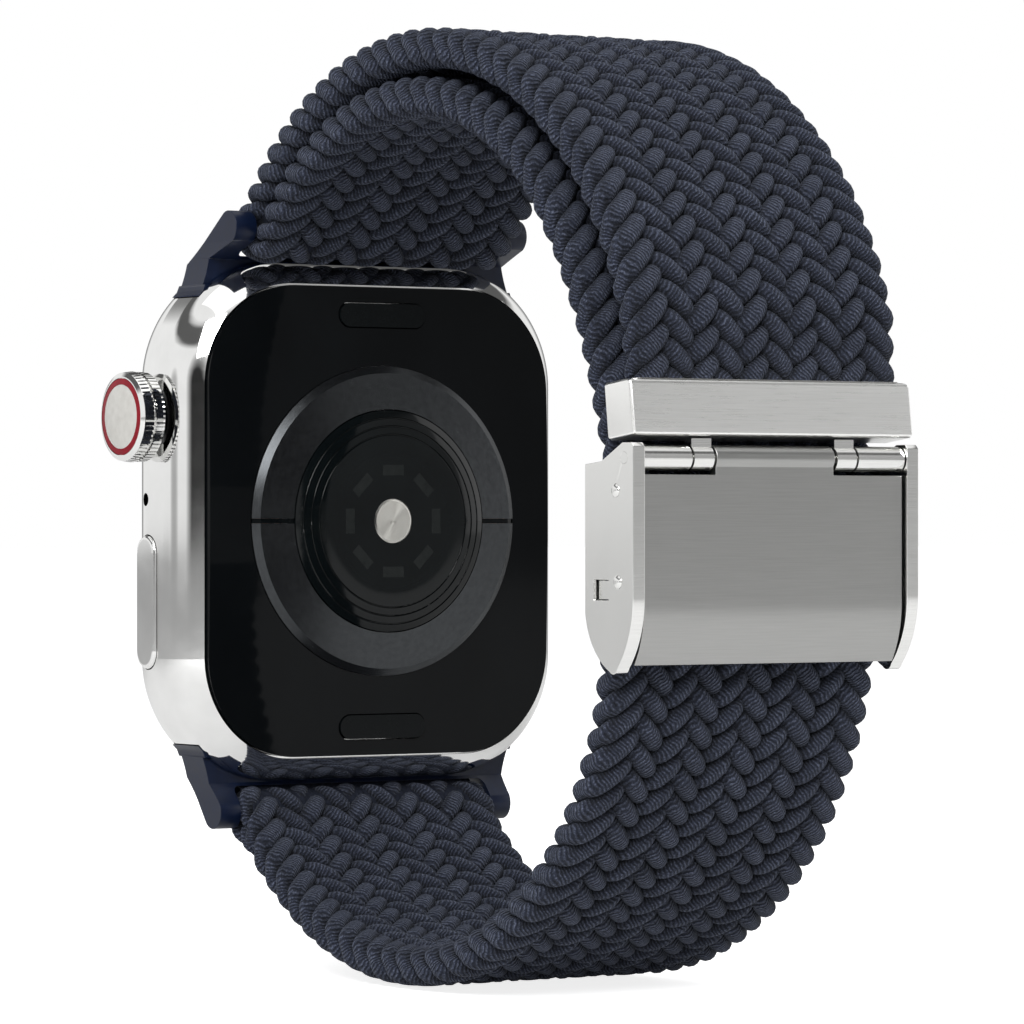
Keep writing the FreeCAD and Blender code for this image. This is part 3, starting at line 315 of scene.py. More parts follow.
def knitted_cord():
    """Knitted yarn cord: V-shaped ribs along the cord, flecked yarn, a fuzzy sheen, and painted
    shade deep in the plait.
    """
    material, tree, shader = new_material("knitted_cord")
    uv = tree.nodes.new("ShaderNodeUVMap")
    uv.uv_map = "cord"
    split = tree.nodes.new("ShaderNodeSeparateXYZ")
    tree.links.new(uv.outputs[0], split.inputs[0])
    along, around = split.outputs[0], split.outputs[1]

    # Ribs that lean one way on one half of each wale and the other way on the other half.
    zigzag = math_node(tree, "PINGPONG", math_node(tree, "MULTIPLY", around, WALES), 0.5)
    wobble = math_node(tree, "MULTIPLY", noise(tree, object_coordinates(tree), 1.1, 3.0), 1.6)
    lean = math_node(tree, "MULTIPLY_ADD", zigzag, 0.7, wobble)
    phase = math_node(tree, "ADD", math_node(tree, "DIVIDE", along, RIB_PITCH), lean)
    wave = math_node(tree, "SINE", math_node(tree, "MULTIPLY", phase, math.tau))
    ribs = math_node(tree, "MULTIPLY_ADD", wave, 0.5, 0.5)
    wales = math_node(tree, "POWER", math_node(tree, "MULTIPLY", zigzag, 2.0), 0.5)

    fuzz = noise(tree, object_coordinates(tree), 6.5, 5.0)
    knit = math_node(tree, "MULTIPLY", ribs, wales)
    height = math_node(tree, "ADD", knit, math_node(tree, "MULTIPLY", fuzz, 0.7))
    bump(tree, height, 1.0, KNIT_DEPTH, shader)

    patches = noise(tree, object_coordinates(tree), 0.35, 2.0)
    yarn = math_node(tree, "MULTIPLY", fuzz, 0.60)
    yarn = math_node(tree, "ADD", yarn, math_node(tree, "MULTIPLY", ribs, 0.22))
    fleck = math_node(tree, "MULTIPLY_ADD", patches, 0.12, yarn)
    colour = ramp(tree, fleck, [
        (0.32, (0.0040, 0.0055, 0.0115)),
        (0.53, (0.0240, 0.0295, 0.0500)),
        (0.72, (0.1250, 0.1430, 0.2050)),
    ])
    # Painted shade: the yarn's colour is darkened where it lies deep in the plait, in the crevices
    # between and under its neighbours, and kept full where it lies outside.
    outness_for_painted_shade = tree.nodes.new("ShaderNodeAttribute")
    outness_for_painted_shade.attribute_name = "outness_for_painted_shade"
    # Painted shade: the colour falls to 5 per cent in the deepest crevices and stays full on the
    # outside.
    painted_crevice_shade = ramp(tree, outness_for_painted_shade.outputs["Fac"], [
        (0.45, (0.05, 0.05, 0.05)),
        (0.74, (0.42, 0.42, 0.42)),
        (0.97, (1.00, 1.00, 1.00)),
    ])
    shaded = tree.nodes.new("ShaderNodeMix")
    shaded.data_type = "RGBA"
    shaded.blend_type = "MULTIPLY"
    shaded.inputs["Factor"].default_value = 1.0
    tree.links.new(colour, shaded.inputs["A"])
    tree.links.new(painted_crevice_shade, shaded.inputs["B"])
    tree.links.new(shaded.outputs["Result"], shader.inputs["Base Color"])
    rough_between(tree, shader, fuzz, 0.75, 0.95)
    shader.inputs["Specular IOR Level"].default_value = 0.25
    shader.inputs["Sheen Weight"].default_value = 0.12
    shader.inputs["Sheen Roughness"].default_value = 0.5
    shader.inputs["Sheen Tint"].default_value = (0.55, 0.62, 0.80, 1)
    return material


# Name, dark and light colour, low and high roughness, and what else differs from the usual.
PLASTICS = (
    ("display_glass", (0.003, 0.003, 0.004), (0.005, 0.005, 0.006), 0.03, 0.06, {"grain": 0.0}),
    ("sensor_window", (0.006, 0.008, 0.008), (0.010, 0.012, 0.012), 0.15, 0.25,
     {"grain": 0.0, "specular": 0.25}),
    ("crown_red", (0.20, 0.002, 0.010), (0.25, 0.003, 0.014), 0.25, 0.35,
     {"grain": 0.0, "specular": 0.15}),
    ("crown_cap", (0.52, 0.51, 0.48), (0.60, 0.59, 0.56), 0.3, 0.4, {"grain": 0.05}),
    ("connector", (0.0018, 0.005, 0.019), (0.003, 0.008, 0.027), 0.30, 0.42, {"specular": 0.3}),
    ("release_black", (0.002, 0.003, 0.0035), (0.003, 0.004, 0.0045), 0.06, 0.12,
     {"grain": 0.0, "specular": 0.12}),
    ("seal", (0.01, 0.01, 0.01), (0.02, 0.02, 0.02), 0.7, 0.9, {}),
    ("board", (0.01, 0.05, 0.025), (0.02, 0.08, 0.04), 0.4, 0.6, {}),
    ("panel", (0.008, 0.008, 0.01), (0.015, 0.015, 0.018), 0.3, 0.4, {}),
    ("black_plastic", (0.015, 0.015, 0.015), (0.03, 0.03, 0.03), 0.5, 0.7, {}),
    ("webbing", (0.004, 0.0055, 0.011), (0.012, 0.015, 0.026), 0.8, 0.95,
     {"scale": 3.0, "grain": 0.8, "specular": 0.2}),
)
METALS = (
    ("spring_steel", (0.35, 0.35, 0.36), (0.5, 0.5, 0.5), 0.25, 0.4),
    ("copper", (0.60, 0.28, 0.16), (0.72, 0.38, 0.24), 0.2, 0.35),
    ("cell", (0.45, 0.45, 0.47), (0.6, 0.6, 0.62), 0.35, 0.5),
    ("frame_metal", (0.4, 0.4, 0.42), (0.55, 0.55, 0.57), 0.35, 0.5),
)
# Name, brightness, low and high roughness, and the strength of the scratches. The keeper bar's and
# the cover's steels are copies of the clasp's satin steel: the keeper's brightness is raised as
# painted light, the cover's lowered as painted shade; their roughness and scratches are their own.
BRUSHED_STEELS = (
    ("satin_steel", 0.84, 0.12, 0.20, 0.10),
    # Painted light: the keeper bar's copy of the satin steel, brighter.
    ("keeper_steel_painted_light", 0.97, 0.25, 0.31, 0.06),
    # Painted shade: the cover's copy of the satin steel, darker.
    ("cover_steel_painted_shade", 0.40, 0.26, 0.34, 0.12),
)


def make_materials():
    """One material for each of the record's slots, two more steels, which are painted lighter and
    darker copies of the satin steel, and the webbing, by name.
    """
    materials = {
        "polished_steel": polished_steel(),
        "rear_glass": black_glass(),
        "sensor_crystal": sensor_crystal(),
        "electrode": electrode(),
        "lens_metal": lens_metal(),
        "braid": knitted_cord(),
    }
    for name, *finish, extra in PLASTICS:
        materials[name] = plastic(name, *finish, **extra)
    for name, *finish in METALS:
        materials[name] = metal(name, *finish)
    for name, *finish in BRUSHED_STEELS:
        materials[name] = satin_steel(name, *finish)
    return materials


# The nodes whose steel differs from the rest of their slot: the keeper bar's is painted lighter and
# the cover's painted darker than the satin steel.
OTHER_STEEL = {"keeper_bar": "keeper_steel_painted_light", "clasp_cover": "cover_steel_painted_shade"}


def finish_nodes(materials):
    """Every CAD node takes the material of its slot, or its own steel."""
    for part in frame["record"]["subparts"]:
        finish = OTHER_STEEL.get(part["node"], part["material_slot"])
        item = nodes[part["node"]]
        item.data.materials.clear()
        item.data.materials.append(materials[finish])


# ------------------------------------------------------------------ softened edges

# Node, how wide its edges are, in how many steps they turn, its body and its slot.
SOFT_EDGES = (
    ("keeper_bar", 0.30, 1, "band", "satin_steel"),
    ("clasp_side_plate_left", 0.16, 3, "band", "satin_steel"),
    ("clasp_side_plate_right", 0.16, 3, "band", "satin_steel"),
    ("clasp_cover", 0.12, 3, "clasp_cover", "satin_steel"),
    ("upper_connector", 0.3, 3, "band", "connector"),
    ("lower_connector", 0.3, 3, "band", "connector"),
)
WELD_DISTANCE = 2e-6
FLAT_ANGLE = 0.6
EDGE_ANGLE = 28.0


def softened(node, width, segments, body, slot):
    """A copy of a CAD node with its sharp edges rounded, which stands for the node."""
    source = nodes[node]
    shape = bmesh.new()
    shape.from_mesh(source.data)
    bmesh.ops.remove_doubles(shape, verts=shape.verts, dist=WELD_DISTANCE)
    flat = math.radians(FLAT_ANGLE)
    bmesh.ops.dissolve_limit(shape, angle_limit=flat, verts=shape.verts, edges=shape.edges)
    mesh = bpy.data.meshes.new(node + "_soft")
    shape.to_mesh(mesh)
    shape.free()
    mesh.materials.append(source.data.materials[0])
    mesh.shade_smooth()
    piece = bpy.data.objects.new(node + "_soft", mesh)
    bpy.context.scene.collection.objects.link(piece)
    bevel = piece.modifiers.new("bevel", "BEVEL")
    bevel.width = width * MM
    bevel.segments = segments
    bevel.limit_method = "ANGLE"
    bevel.angle_limit = math.radians(EDGE_ANGLE)
    bevel.harden_normals = True
    bevel.miter_outer = "MITER_ARC"
    weighted = piece.modifiers.new("normals", "WEIGHTED_NORMAL")
    weighted.keep_sharp = True
    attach(piece, body)
    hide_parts(node)


# ------------------------------------------------------------------ strap

# The strap is drawn by its middle line in y and z. Points are (y, z), arcs are (radius, degrees),
# headings are degrees from +y towards +z, and a HALF is half of the strap's thickness.
UPPER_PIN = (0.6, 24.5)
LOWER_PIN = (3.1, -24.4)
STRAP_HALF = 1.5

# The fold round the upper pin, and the taper to the full thickness on both sides of it.
FOLD_RADIUS = 1.6
FOLD_HEADING = 134.85
FOLD_HALF = 1.25
TAPER = 4.0

# The outer layer, from the fold to its tab in the keeper bar's slot.
OUTER_LAYER = (31.72, 117.6)
TAB_MOUTH = (-54.25, 11.0)
TAB_END = (-54.15, 7.9)
TAB_HALF = 0.93

# The inner layer, its way through the clasp, and the lower run. The strap is still thickening
# over the first EASE_LENGTH of the lower run, which turns by EASE_TURN there.
INNER_LAYER = ((26.5, 100.446), (46.281, 20.004))
CLAMPED_HALF = 1.1
CLASP_ENTRY = 3.57
CLASP_BEND = (6.0, 14.7)
CLASP_RUN = 7.63
CLASP_EXIT = 1.2
LOWER_RUN = ((29.816, 75.226), (31.671, 57.884))
EASE_LENGTH = 2.0
EASE_TURN = 3.8435739

# The lower end wraps its pin. Each step is the distance back from the pin, the rise towards the
# wrist, and the half thickness at its start and at its end.
LOWER_APPROACH = ((2.8, 0.2, 1.5, 1.35), (1.2, 0.8, 1.35, 1.1), (0.0, 1.0, 1.1, 1.0))
LOWER_WRAP = 1.0
LOWER_HALF = 1.0
LOWER_RETURN = ((1.4, -1.0, 1.0, 1.0), (2.8, -0.8, 1.0, 0.8), (5.0, 0.0, 0.8, 0.35))

# How far apart the middle line's stations are, and over how many of them its joins are eased.
PATH_STEP = 0.2
EASED_STATIONS = 9


class Walk:
    """A walk along the strap's middle line, which notes its stations and half thicknesses."""

    def __init__(self, y, z, heading):
        self.y, self.z, self.heading = y, z, math.radians(heading)
        self.stations = [(y, z)]
        self.halves = []

    def run(self, length, half_start, half_end, turn=0.0):
        """A straight run, or an arc where turn is the left-hand angle in degrees."""
        steps = max(2, round(length / PATH_STEP))
        if not self.halves:
            self.halves.append(half_start)
        for step in range(steps):
            swing = math.radians(turn) / steps
            self.heading += swing / 2
            self.y += length / steps * math.cos(self.heading)
            self.z += length / steps * math.sin(self.heading)
            self.heading += swing / 2
            self.stations.append((self.y, self.z))
            share = (step + 1) / steps
            self.halves.append(half_start + (half_end - half_start) * share)

    def run_to(self, point, half_start, half_end):
        """A straight run to a point, whatever the heading was."""
        across, up = point[0] - self.y, point[1] - self.z
        self.heading = math.atan2(up, across)
        self.run(math.hypot(across, up), half_start, half_end)

    def arc(self, radius, degrees, half):
        """An arc to the left, or to the right where both the radius and the angle are negative."""
        self.run(radius * math.radians(degrees), half, half, degrees)


def strap_path():
    """The whole middle line, from the keeper bar, round the fold and the clasp, to the lower pin."""
    heading = math.radians(FOLD_HEADING)
    start = (
        UPPER_PIN[0] + FOLD_RADIUS * math.sin(heading),
        UPPER_PIN[1] - FOLD_RADIUS * math.cos(heading),
    )
    outer = Walk(*start, FOLD_HEADING)
    outer.run(TAPER, FOLD_HALF, STRAP_HALF)
    outer.arc(*OUTER_LAYER, STRAP_HALF)
    outer.run_to(TAB_MOUTH, STRAP_HALF, TAB_HALF)
    outer.run_to(TAB_END, TAB_HALF, TAB_HALF)

    inner = Walk(*start, FOLD_HEADING - 180.0)
    inner.arc(-FOLD_RADIUS, -180.0, FOLD_HALF)
    inner.run(TAPER, FOLD_HALF, STRAP_HALF)
    for radius, degrees in INNER_LAYER:
        inner.arc(radius, degrees, STRAP_HALF)
    inner.run(CLASP_ENTRY, STRAP_HALF, CLAMPED_HALF)
    inner.arc(*CLASP_BEND, CLAMPED_HALF)
    inner.run(CLASP_RUN, CLAMPED_HALF, CLAMPED_HALF)
    inner.run(CLASP_EXIT + EASE_LENGTH, CLAMPED_HALF, STRAP_HALF, EASE_TURN)
    radius, degrees = LOWER_RUN[0]
    inner.arc(radius, degrees - EASE_TURN, STRAP_HALF)
    inner.arc(*LOWER_RUN[1], STRAP_HALF)

    heading = inner.heading
    along = np.array([math.cos(heading), math.sin(heading)])
    inward = np.array([-math.sin(heading), math.cos(heading)])
    for back, rise, half_start, half_end in LOWER_APPROACH:
        inner.run_to(LOWER_PIN - back * along + rise * inward, half_start, half_end)
    inner.heading = heading
    inner.arc(-LOWER_WRAP, -180.0, LOWER_HALF)
    for back, rise, half_start, half_end in LOWER_RETURN:
        inner.run_to(LOWER_PIN - back * along + rise * inward, half_start, half_end)

    # Both walks start at the same station, which is kept once.
    line = outer.stations[::-1] + inner.stations[1:]
    half = outer.halves[::-1] + inner.halves[1:]
    return np.array(line), np.array(half)


def eased(values):
    """A running mean, which eases the joins between straight runs and arcs."""
    padded = np.pad(values, EASED_STATIONS // 2, mode="edge")
    return np.convolve(padded, np.ones(EASED_STATIONS) / EASED_STATIONS, mode="valid")


class Path:
    """The strap's middle line by arc length: position, unit normal and squeeze.

    The normal points to the wrist on the outer layer, and away from it beyond the fold, where the
    strap lies turned over. The squeeze is 1 where the strap has its full thickness.
    """

    def __init__(self):
        self.line, half = strap_path()
        step = np.hypot(*np.diff(self.line, axis=0).T)
        self.s = np.concatenate([[0], np.cumsum(step)])
        self.length = self.s[-1]
        tangent = np.gradient(self.line, self.s, axis=0)
        tangent = np.stack([eased(tangent[:, 0]), eased(tangent[:, 1])], axis=1)
        tangent /= np.hypot(*tangent.T)[:, None]
        self.normal = np.stack([tangent[:, 1], -tangent[:, 0]], axis=1)
        self.squeeze = eased(half / STRAP_HALF)

    def at(self, s, x, lift):
        """Points for arrays of arc length, distance across and height over the middle line."""
        y = np.interp(s, self.s, self.line[:, 0])
        z = np.interp(s, self.s, self.line[:, 1])
        ny = np.interp(s, self.s, self.normal[:, 0])
        nz = np.interp(s, self.s, self.normal[:, 1])
        scale = np.hypot(ny, nz)
        lifted = lift * np.interp(s, self.s, self.squeeze)
        return np.stack([x, y + ny / scale * lifted, z + nz / scale * lifted], axis=-1)


# The plait: how many cords, the columns they cross, and how far along they go for each column.
STRANDS = 21
COLUMNS = STRANDS - 1
STEP = 1.10
BRAID_HALF_WIDTH = 11.72
CORD_RADIUS = 0.84
CORD_LIFT = 0.80

# How many columns a cord takes to turn at an edge, and how square its ups and downs are.
EDGE_TURN = 3
LIFT_SHARPNESS = 1.8

# The cords' mesh: how finely each is first drawn, over how many of those points its way across
# and its lift are smoothed, the distance between rings and the points in one.
FINE_STEP = 0.05
LANE_SMOOTHING = 17
LIFT_SMOOTHING = 9
RING_STEP = 0.26
SIDES = 14
CAP_BULGE = 0.3

# How plump a cord is low in the plait, how much more on top and at the edges, and its unevenness.
PLUMP = 0.94
PLUMP_ON_TOP = 0.08
PLUMP_AT_EDGE = 0.04
UNEVENNESS = 0.025
KNOT_RINGS = 12
FIRST_SEED = 100

# Where the braid's edges begin to count as lying outside, clear of the yarn's painted shade, over
# what depth, and the caps' share.
EDGE_START = 11.2
EDGE_DEPTH = 1.2
CAP_OUTSIDE = 0.3


def strand_lane(phase):
    """Where a strand is across the braid, from -1 to 1, over its period of 2 * STRANDS steps."""
    phase = np.mod(phase, 2 * STRANDS)
    lane = np.where(phase <= COLUMNS, phase, 0.0)
    lane = np.where((phase > COLUMNS) & (phase <= COLUMNS + 1), COLUMNS, lane)
    back = 2 * COLUMNS + 1 - phase
    lane = np.where((phase > COLUMNS + 1) & (phase <= 2 * COLUMNS + 1), back, lane)
    return lane / (COLUMNS / 2) - 1.0


def strand_lift(phase):
    """Over two and under two: 1 on the side away from the path's normal, -1 on the normal's side."""
    phase = np.mod(phase, 2 * STRANDS)
    going = np.cos(math.pi * (phase - 1.0) / 2)
    coming = np.cos(math.pi * (phase - (COLUMNS + 2)) / 2)
    edge = COLUMNS - 1
    far_edge = np.cos(math.pi * (1 + (phase - edge) / EDGE_TURN))
    near = np.where(phase < 1, phase + 2 * STRANDS, phase)
    near_edge = np.cos(math.pi * (1 + (near - 2 * COLUMNS) / EDGE_TURN))
    lift = np.where(phase < edge, going, coming)
    lift = np.where((phase >= edge) & (phase <= edge + EDGE_TURN), far_edge, lift)
    lift = np.where((phase >= 2 * COLUMNS) | (phase < 1), near_edge, lift)
    return np.tanh(LIFT_SHARPNESS * lift) / math.tanh(LIFT_SHARPNESS)


def smooth(values, width):
    """A running mean that counts the nearest values most."""
    kernel = np.hanning(width + 2)[1:-1]
    kernel /= kernel.sum()
    return np.convolve(np.pad(values, width // 2, mode="edge"), kernel, mode="valid")


class Strand:
    """One cord's rings: their places, their frames, and how wide and thick each is."""

    def __init__(self, path, number):
        fine = np.arange(0.0, path.length, FINE_STEP)
        phase = fine / STEP + 2 * number
        lane = smooth(strand_lane(phase), LANE_SMOOTHING)
        lift = smooth(strand_lift(phase), LIFT_SMOOTHING)
        centre = path.at(fine, lane * BRAID_HALF_WIDTH, -lift * CORD_LIFT)
        pieces = np.linalg.norm(np.diff(centre, axis=0), axis=1)
        length = np.concatenate([[0], np.cumsum(pieces)])

        self.rings = int(length[-1] / RING_STEP)
        self.stations = np.linspace(0, length[-1], self.rings)
        spine = [np.interp(self.stations, length, centre[:, axis]) for axis in range(3)]
        self.spine = np.stack(spine, axis=1)
        self.over = np.interp(self.stations, length, lift)
        self.side = np.interp(self.stations, length, lane)
        s = np.interp(self.stations, length, fine)

        tangent = np.gradient(self.spine, axis=0)
        self.tangent = tangent / np.linalg.norm(tangent, axis=1)[:, None]
        normal_y = np.interp(s, path.s, path.normal[:, 0])
        normal_z = np.interp(s, path.s, path.normal[:, 1])
        up = np.stack([np.zeros_like(normal_y), normal_y, normal_z], axis=1)
        across = np.cross(up, self.tangent)
        self.across = across / np.linalg.norm(across, axis=1)[:, None]
        self.up = np.cross(self.tangent, self.across)

        # A cord is plumpest where it lies on top, and pinched where it dives under its neighbours.
        random = np.random.default_rng(FIRST_SEED + number)
        knots = random.normal(0.0, 1.0, self.rings // KNOT_RINGS + 4)
        drift = np.interp(np.arange(self.rings) / KNOT_RINGS, np.arange(len(knots)), knots)
        plump = PLUMP + PLUMP_ON_TOP * np.abs(self.over) ** 2 + drift * UNEVENNESS
        self.width = CORD_RADIUS * plump * (1.0 + PLUMP_AT_EDGE * np.abs(self.side) ** 8)
        self.height = CORD_RADIUS * plump
        self.squeeze = np.interp(s, path.s, path.squeeze)

        angle = np.arange(SIDES) * math.tau / SIDES
        self.cosine, self.sine = np.cos(angle)[None, :], np.sin(angle)[None, :]

    def points(self):
        """Every ring's points, then the two tips, in the model's frame."""
        thick = self.height * self.squeeze
        ring = (
            self.spine[:, None, :]
            + self.across[:, None, :] * (self.width[:, None] * self.cosine)[..., None]
            + self.up[:, None, :] * (thick[:, None] * self.sine)[..., None]
        )
        tips = np.array([
            self.spine[0] - self.tangent[0] * CAP_BULGE,
            self.spine[-1] + self.tangent[-1] * CAP_BULGE,
        ])
        return np.concatenate([ring.reshape(-1, 3), tips]) * MM + np.array(ORIGIN)

    def faces(self):
        """Four-sided faces along the cord, and a fan of three-sided ones at each tip."""
        column = np.arange(self.rings - 1)[:, None] * SIDES
        here = np.arange(SIDES)[None, :]
        after = (here + 1) % SIDES
        corners = [column + here, column + after, column + SIDES + after, column + SIDES + here]
        quads = np.stack(corners, axis=-1).reshape(-1, 4)
        last = (self.rings - 1) * SIDES
        tip = self.rings * SIDES
        caps = [(tip, (k + 1) % SIDES, k) for k in range(SIDES)]
        caps += [(tip + 1, last + k, last + (k + 1) % SIDES) for k in range(SIDES)]
        return quads, caps

    def outness_for_painted_shade(self):
        """How far out in the plait each point lies, from 0 to 1, which sets the yarn's painted
        crevice shade.
        """
        rise = self.over[:, None] * CORD_LIFT - self.height[:, None] * self.sine
        rise = np.abs(rise) / (CORD_LIFT + CORD_RADIUS)
        beyond = self.side[:, None] * BRAID_HALF_WIDTH + self.width[:, None] * self.cosine
        beyond = np.clip((np.abs(beyond) - EDGE_START) / EDGE_DEPTH, 0, 1)
        caps = [CAP_OUTSIDE, CAP_OUTSIDE]
        return np.concatenate([np.maximum(rise, beyond).reshape(-1), caps])


def lay_out_yarn(mesh, strand, quad_count):
    """The UV map that the knit follows: millimetres along the cord, and turns round it."""
    layer = mesh.uv_layers.new(name="cord")
    along = np.concatenate([np.repeat(strand.stations, SIDES), [0.0, strand.stations[-1]]])
    turn = np.concatenate([np.tile(np.arange(SIDES) / SIDES, strand.rings), [0.0, 0.0]])
    corner = np.zeros(len(mesh.loops), np.int32)
    mesh.loops.foreach_get("vertex_index", corner)
    u, v = along[corner], turn[corner]

    # The face that closes a ring runs on past one whole turn.
    round_quads = v[:quad_count * 4].reshape(-1, 4)
    closing = round_quads.max(axis=1) - round_quads.min(axis=1) > 0.5
    round_quads[closing] += round_quads[closing] < 0.5
    layer.data.foreach_set("uv", np.stack([u, v], axis=1).astype(np.float32).reshape(-1))


def place_on_strap(name, mesh):
    """A new piece that rides on the band and stands for the CAD's plain strap."""
    piece = bpy.data.objects.new(name, mesh)
    bpy.context.scene.collection.objects.link(piece)
    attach(piece, "band")
    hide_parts("braided_strap")


def make_braid(material):
    """The knitted cords, each a tube that weaves over and under its neighbours."""
    path = Path()
    for number in range(STRANDS):
        strand = Strand(path, number)
        quads, caps = strand.faces()
        name = "braid_cord_%02d" % number
        mesh = bpy.data.meshes.new(name)
        mesh.from_pydata(strand.points().tolist(), [], quads.tolist() + caps)
        mesh.materials.append(material)
        mesh.shade_smooth()
        lay_out_yarn(mesh, strand, len(quads))
        # How far out each point lies, which the painted crevice shade in the yarn's colour reads.
        shown = mesh.attributes.new("outness_for_painted_shade", "FLOAT", "POINT")
        shown.data.foreach_set("value", strand.outness_for_painted_shade().astype(np.float32))
        mesh.validate()
        place_on_strap(name, mesh)


# Rolls of tape at the strap's ends, which fill the gaps between the cords: name, axis and radius.
WEBBING = (
    ("webbing_upper", UPPER_PIN, 2.42),
    ("webbing_lower", LOWER_PIN, 1.75),
    ("webbing_seam", (4.0, -22.85), 0.65),
)
WEBBING_HALF_WIDTH = 11.6
WEBBING_RIB = 0.5
WEBBING_RIB_STATIONS = 4
WEBBING_RIB_HEIGHT = 0.05
WEBBING_BORE = 0.5
WEBBING_SIDES = 40


def make_webbing(name, axis, radius, material):
    """A ribbed tape wound into a roll along x."""
    half, step = WEBBING_HALF_WIDTH, WEBBING_RIB / WEBBING_RIB_STATIONS
    stations = np.arange(-half, half, step)
    ribbed = radius + WEBBING_RIB_HEIGHT * np.cos(math.tau * stations / WEBBING_RIB)
    x = np.concatenate([stations, [half, -half]])
    reach = np.concatenate([ribbed, [WEBBING_BORE, WEBBING_BORE]])
    angle = np.arange(WEBBING_SIDES) * math.tau / WEBBING_SIDES
    points = [
        place(x[row], axis[0] + reach[row] * math.cos(turn), axis[1] + reach[row] * math.sin(turn))
        for row in range(len(x)) for turn in angle
    ]
    faces = []
    for row in range(len(x)):
        here, after = row * WEBBING_SIDES, (row + 1) % len(x) * WEBBING_SIDES
        for side in range(WEBBING_SIDES):
            beside = (side + 1) % WEBBING_SIDES
            faces.append((here + side, after + side, after + beside, here + beside))
    mesh = bpy.data.meshes.new(name)
    mesh.from_pydata(points, [], faces)
    mesh.materials.append(material)
    mesh.shade_smooth()
    place_on_strap(name, mesh)


# ------------------------------------------------------------------ stage and light

# The floor glows to the eye, to meet the white room behind it, and hardly lights the object.
FLOOR_GLOW = 0.82
FLOOR_SHINE = 0.12
FLOOR_REACH = 6.0
FLOOR_DROP = 0.0004
WHITE = (1.0, 1.0, 1.0, 1)


def make_floor():
    """A plain pale floor that runs far past the object on every side."""
    mesh = bpy.data.meshes.new("floor")
    signs = ((-1, -1), (1, -1), (1, 1), (-1, 1))
    corners = [(x * FLOOR_REACH, y * FLOOR_REACH, 0) for x, y in signs]
    mesh.from_pydata(corners, [], [(0, 1, 2, 3)])
    floor = bpy.data.objects.new("floor", mesh)
    floor.location.z = cad_low.z - FLOOR_DROP
    bpy.context.scene.collection.objects.link(floor)
    material, tree, shader = new_material("pale_floor")
    cloud = noise(tree, object_coordinates(tree), 0.02, 2.0)
    colour_between(tree, shader, cloud, 0.3, 0.7, (0.93, 0.93, 0.93), (0.95, 0.95, 0.95))
    shader.inputs["Roughness"].default_value = 0.9
    shader.inputs["Specular IOR Level"].default_value = 0.0
    shader.inputs["Emission Color"].default_value = WHITE
    seen = tree.nodes.new("ShaderNodeLightPath").outputs["Is Camera Ray"]
    glow = math_node(tree, "MULTIPLY_ADD", seen, FLOOR_GLOW - FLOOR_SHINE, FLOOR_SHINE)
    tree.links.new(glow, shader.inputs["Emission Strength"])
    mesh.materials.append(material)


# The room as the steel reflects it. Each wall is a direction on the plan, how many degrees round
# it reaches, and how bright it is. The heights go from 0, straight down, to 1, straight up.
ROOM_WALLS = (
    ((0.56, -0.83), 48.0, 0.42),
    ((-0.80, -0.60), 26.0, 0.03),
    ((-0.93, 0.36), 13.0, 0.50),
    ((0.10, -0.99), 10.0, 0.25),
    ((0.56, 0.83), 36.0, 0.22),
)
WALL_CORE = 0.45
WALL_TOP = [(0.30, (0.0, 0.0, 0.0)), (0.55, (1.0, 1.0, 1.0))]
ROOM_HEIGHTS = [
    (0.30, (0.85, 0.85, 0.85)),
    (0.47, (0.96, 0.96, 0.96)),
    (0.56, (1.00, 1.00, 1.00)),
    (0.72, (1.00, 1.00, 1.00)),
    (0.76, (0.12, 0.12, 0.12)),
    (0.84, (0.12, 0.12, 0.12)),
    (0.88, (1.00, 1.00, 1.00)),
]
ROOM_SHINE = 0.95
ROOM_FILL = 0.26


def room_brightness(tree, x, y, z):
    """A light room whose walls change softly all round, with a dark band high up."""
    walls = None
    for (toward_x, toward_y), spread, brightness in ROOM_WALLS:
        along_x = math_node(tree, "MULTIPLY", x, toward_x)
        along_y = math_node(tree, "MULTIPLY", y, toward_y)
        facing = math_node(tree, "ADD", along_x, along_y)
        inner = math.cos(math.radians(spread * WALL_CORE))
        outer = math.cos(math.radians(spread))
        shade = ramp(tree, facing, [(outer, (1.0, 1.0, 1.0)), (inner, (brightness,) * 3)])
        walls = shade if walls is None else math_node(tree, "MULTIPLY", walls, shade)
    above = ramp(tree, math_node(tree, "ABSOLUTE", z), WALL_TOP)
    height = ramp(tree, math_node(tree, "MULTIPLY_ADD", z, 0.5, 0.5), ROOM_HEIGHTS)
    return math_node(tree, "MULTIPLY", math_node(tree, "MAXIMUM", walls, above), height)


def either(tree, choice, usual, chosen):
    """One shader, or another where the choice is 1."""
    mix = tree.nodes.new("ShaderNodeMixShader")
    for slot, value in enumerate((choice, usual, chosen)):
        tree.links.new(value, mix.inputs[slot])
    return mix.outputs[0]


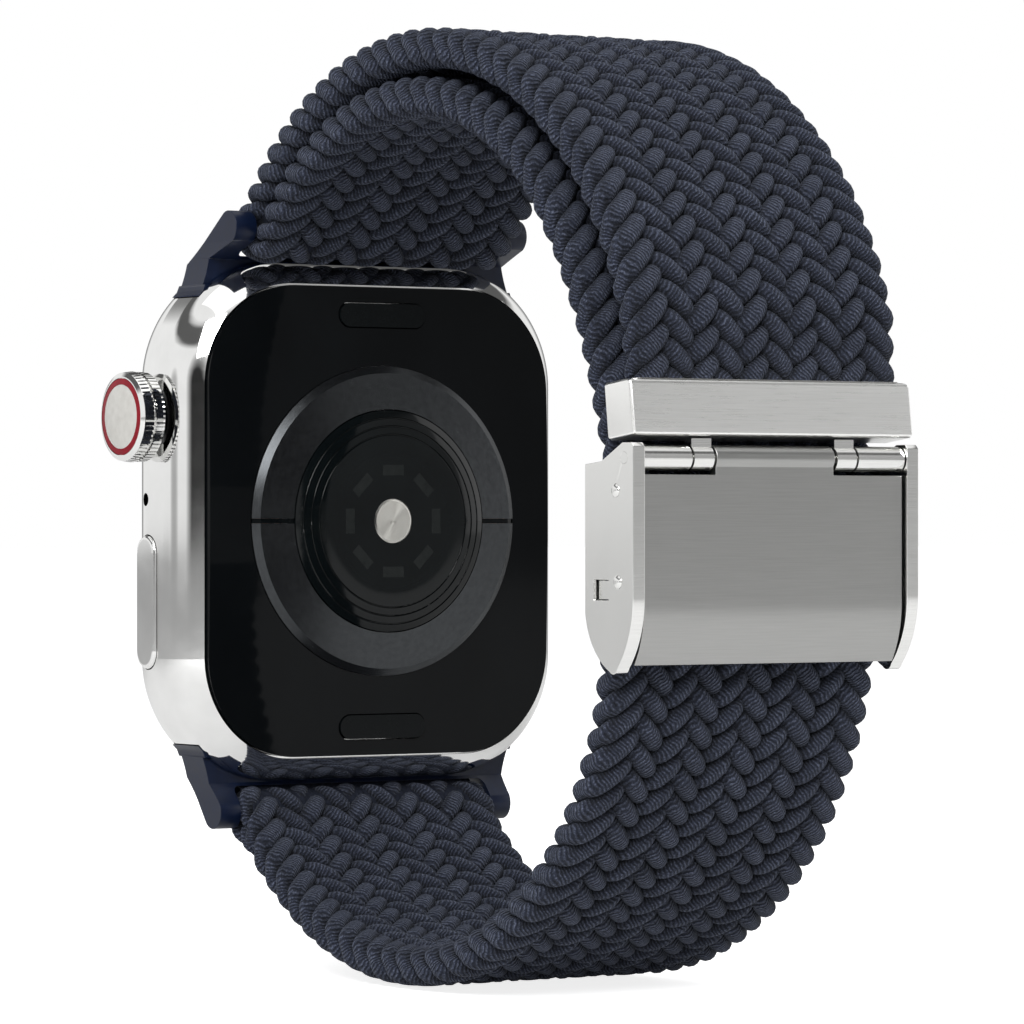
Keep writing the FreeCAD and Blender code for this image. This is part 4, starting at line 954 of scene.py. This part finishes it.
def make_world():
    """A white studio: white to the eye, a room to what is glossy, and a soft fill to the rest."""
    world = bpy.data.worlds.new("studio")
    bpy.context.scene.world = world
    world.use_nodes = True
    tree = world.node_tree
    tree.nodes.clear()
    source = tree.nodes.new("ShaderNodeTexCoord")
    split = tree.nodes.new("ShaderNodeSeparateXYZ")
    tree.links.new(source.outputs["Generated"], split.inputs[0])
    shine = add(tree, "ShaderNodeBackground", Strength=ROOM_SHINE)
    tree.links.new(room_brightness(tree, *split.outputs), shine.inputs["Color"])
    fill = add(tree, "ShaderNodeBackground", Color=WHITE, Strength=ROOM_FILL)
    white = add(tree, "ShaderNodeBackground", Color=WHITE, Strength=1.0)
    rays = tree.nodes.new("ShaderNodeLightPath").outputs
    lit = either(tree, rays["Is Glossy Ray"], fill.outputs[0], shine.outputs[0])
    final = either(tree, rays["Is Camera Ray"], lit, white.outputs[0])
    output = tree.nodes.new("ShaderNodeOutputWorld")
    tree.links.new(final, output.inputs["Surface"])


# Name, place from the middle of the loop in metres, size in metres, power in watts, and how
# many degrees it spreads.
LIGHTS = (
    ("key", (-0.55, -0.55, 0.55), (0.5, 0.5), 5.6, 150),
    ("top", (0.0, -0.1, 0.9), (1.0, 1.0), 1.3, 180),
    ("right", (0.8, -0.3, 0.15), (0.5, 0.8), 1.4, 180),
)
LIGHTS_AIM = (0, -22, 0)


def make_lights():
    """Soft rectangular lamps, all turned to the middle of the loop."""
    middle = place(*LIGHTS_AIM)
    for name, offset, size, power, spread in LIGHTS:
        data = bpy.data.lights.new(name, "AREA")
        data.shape = "RECTANGLE"
        data.size, data.size_y = size
        data.energy = power
        data.spread = math.radians(spread)
        light = bpy.data.objects.new(name, data)
        light.location = middle + Vector(offset)
        light.rotation_euler = (-Vector(offset)).to_track_quat("-Z", "Y").to_euler()
        bpy.context.scene.collection.objects.link(light)


# ------------------------------------------------------------------ the scene

make_camera()
materials = make_materials()
finish_nodes(materials)
for edge in SOFT_EDGES:
    softened(*edge)
make_braid(materials["braid"])
for roll in WEBBING:
    make_webbing(*roll, materials["webbing"])
make_floor()
make_world()
make_lights()
bpy.context.scene.view_settings.view_transform = "Standard"
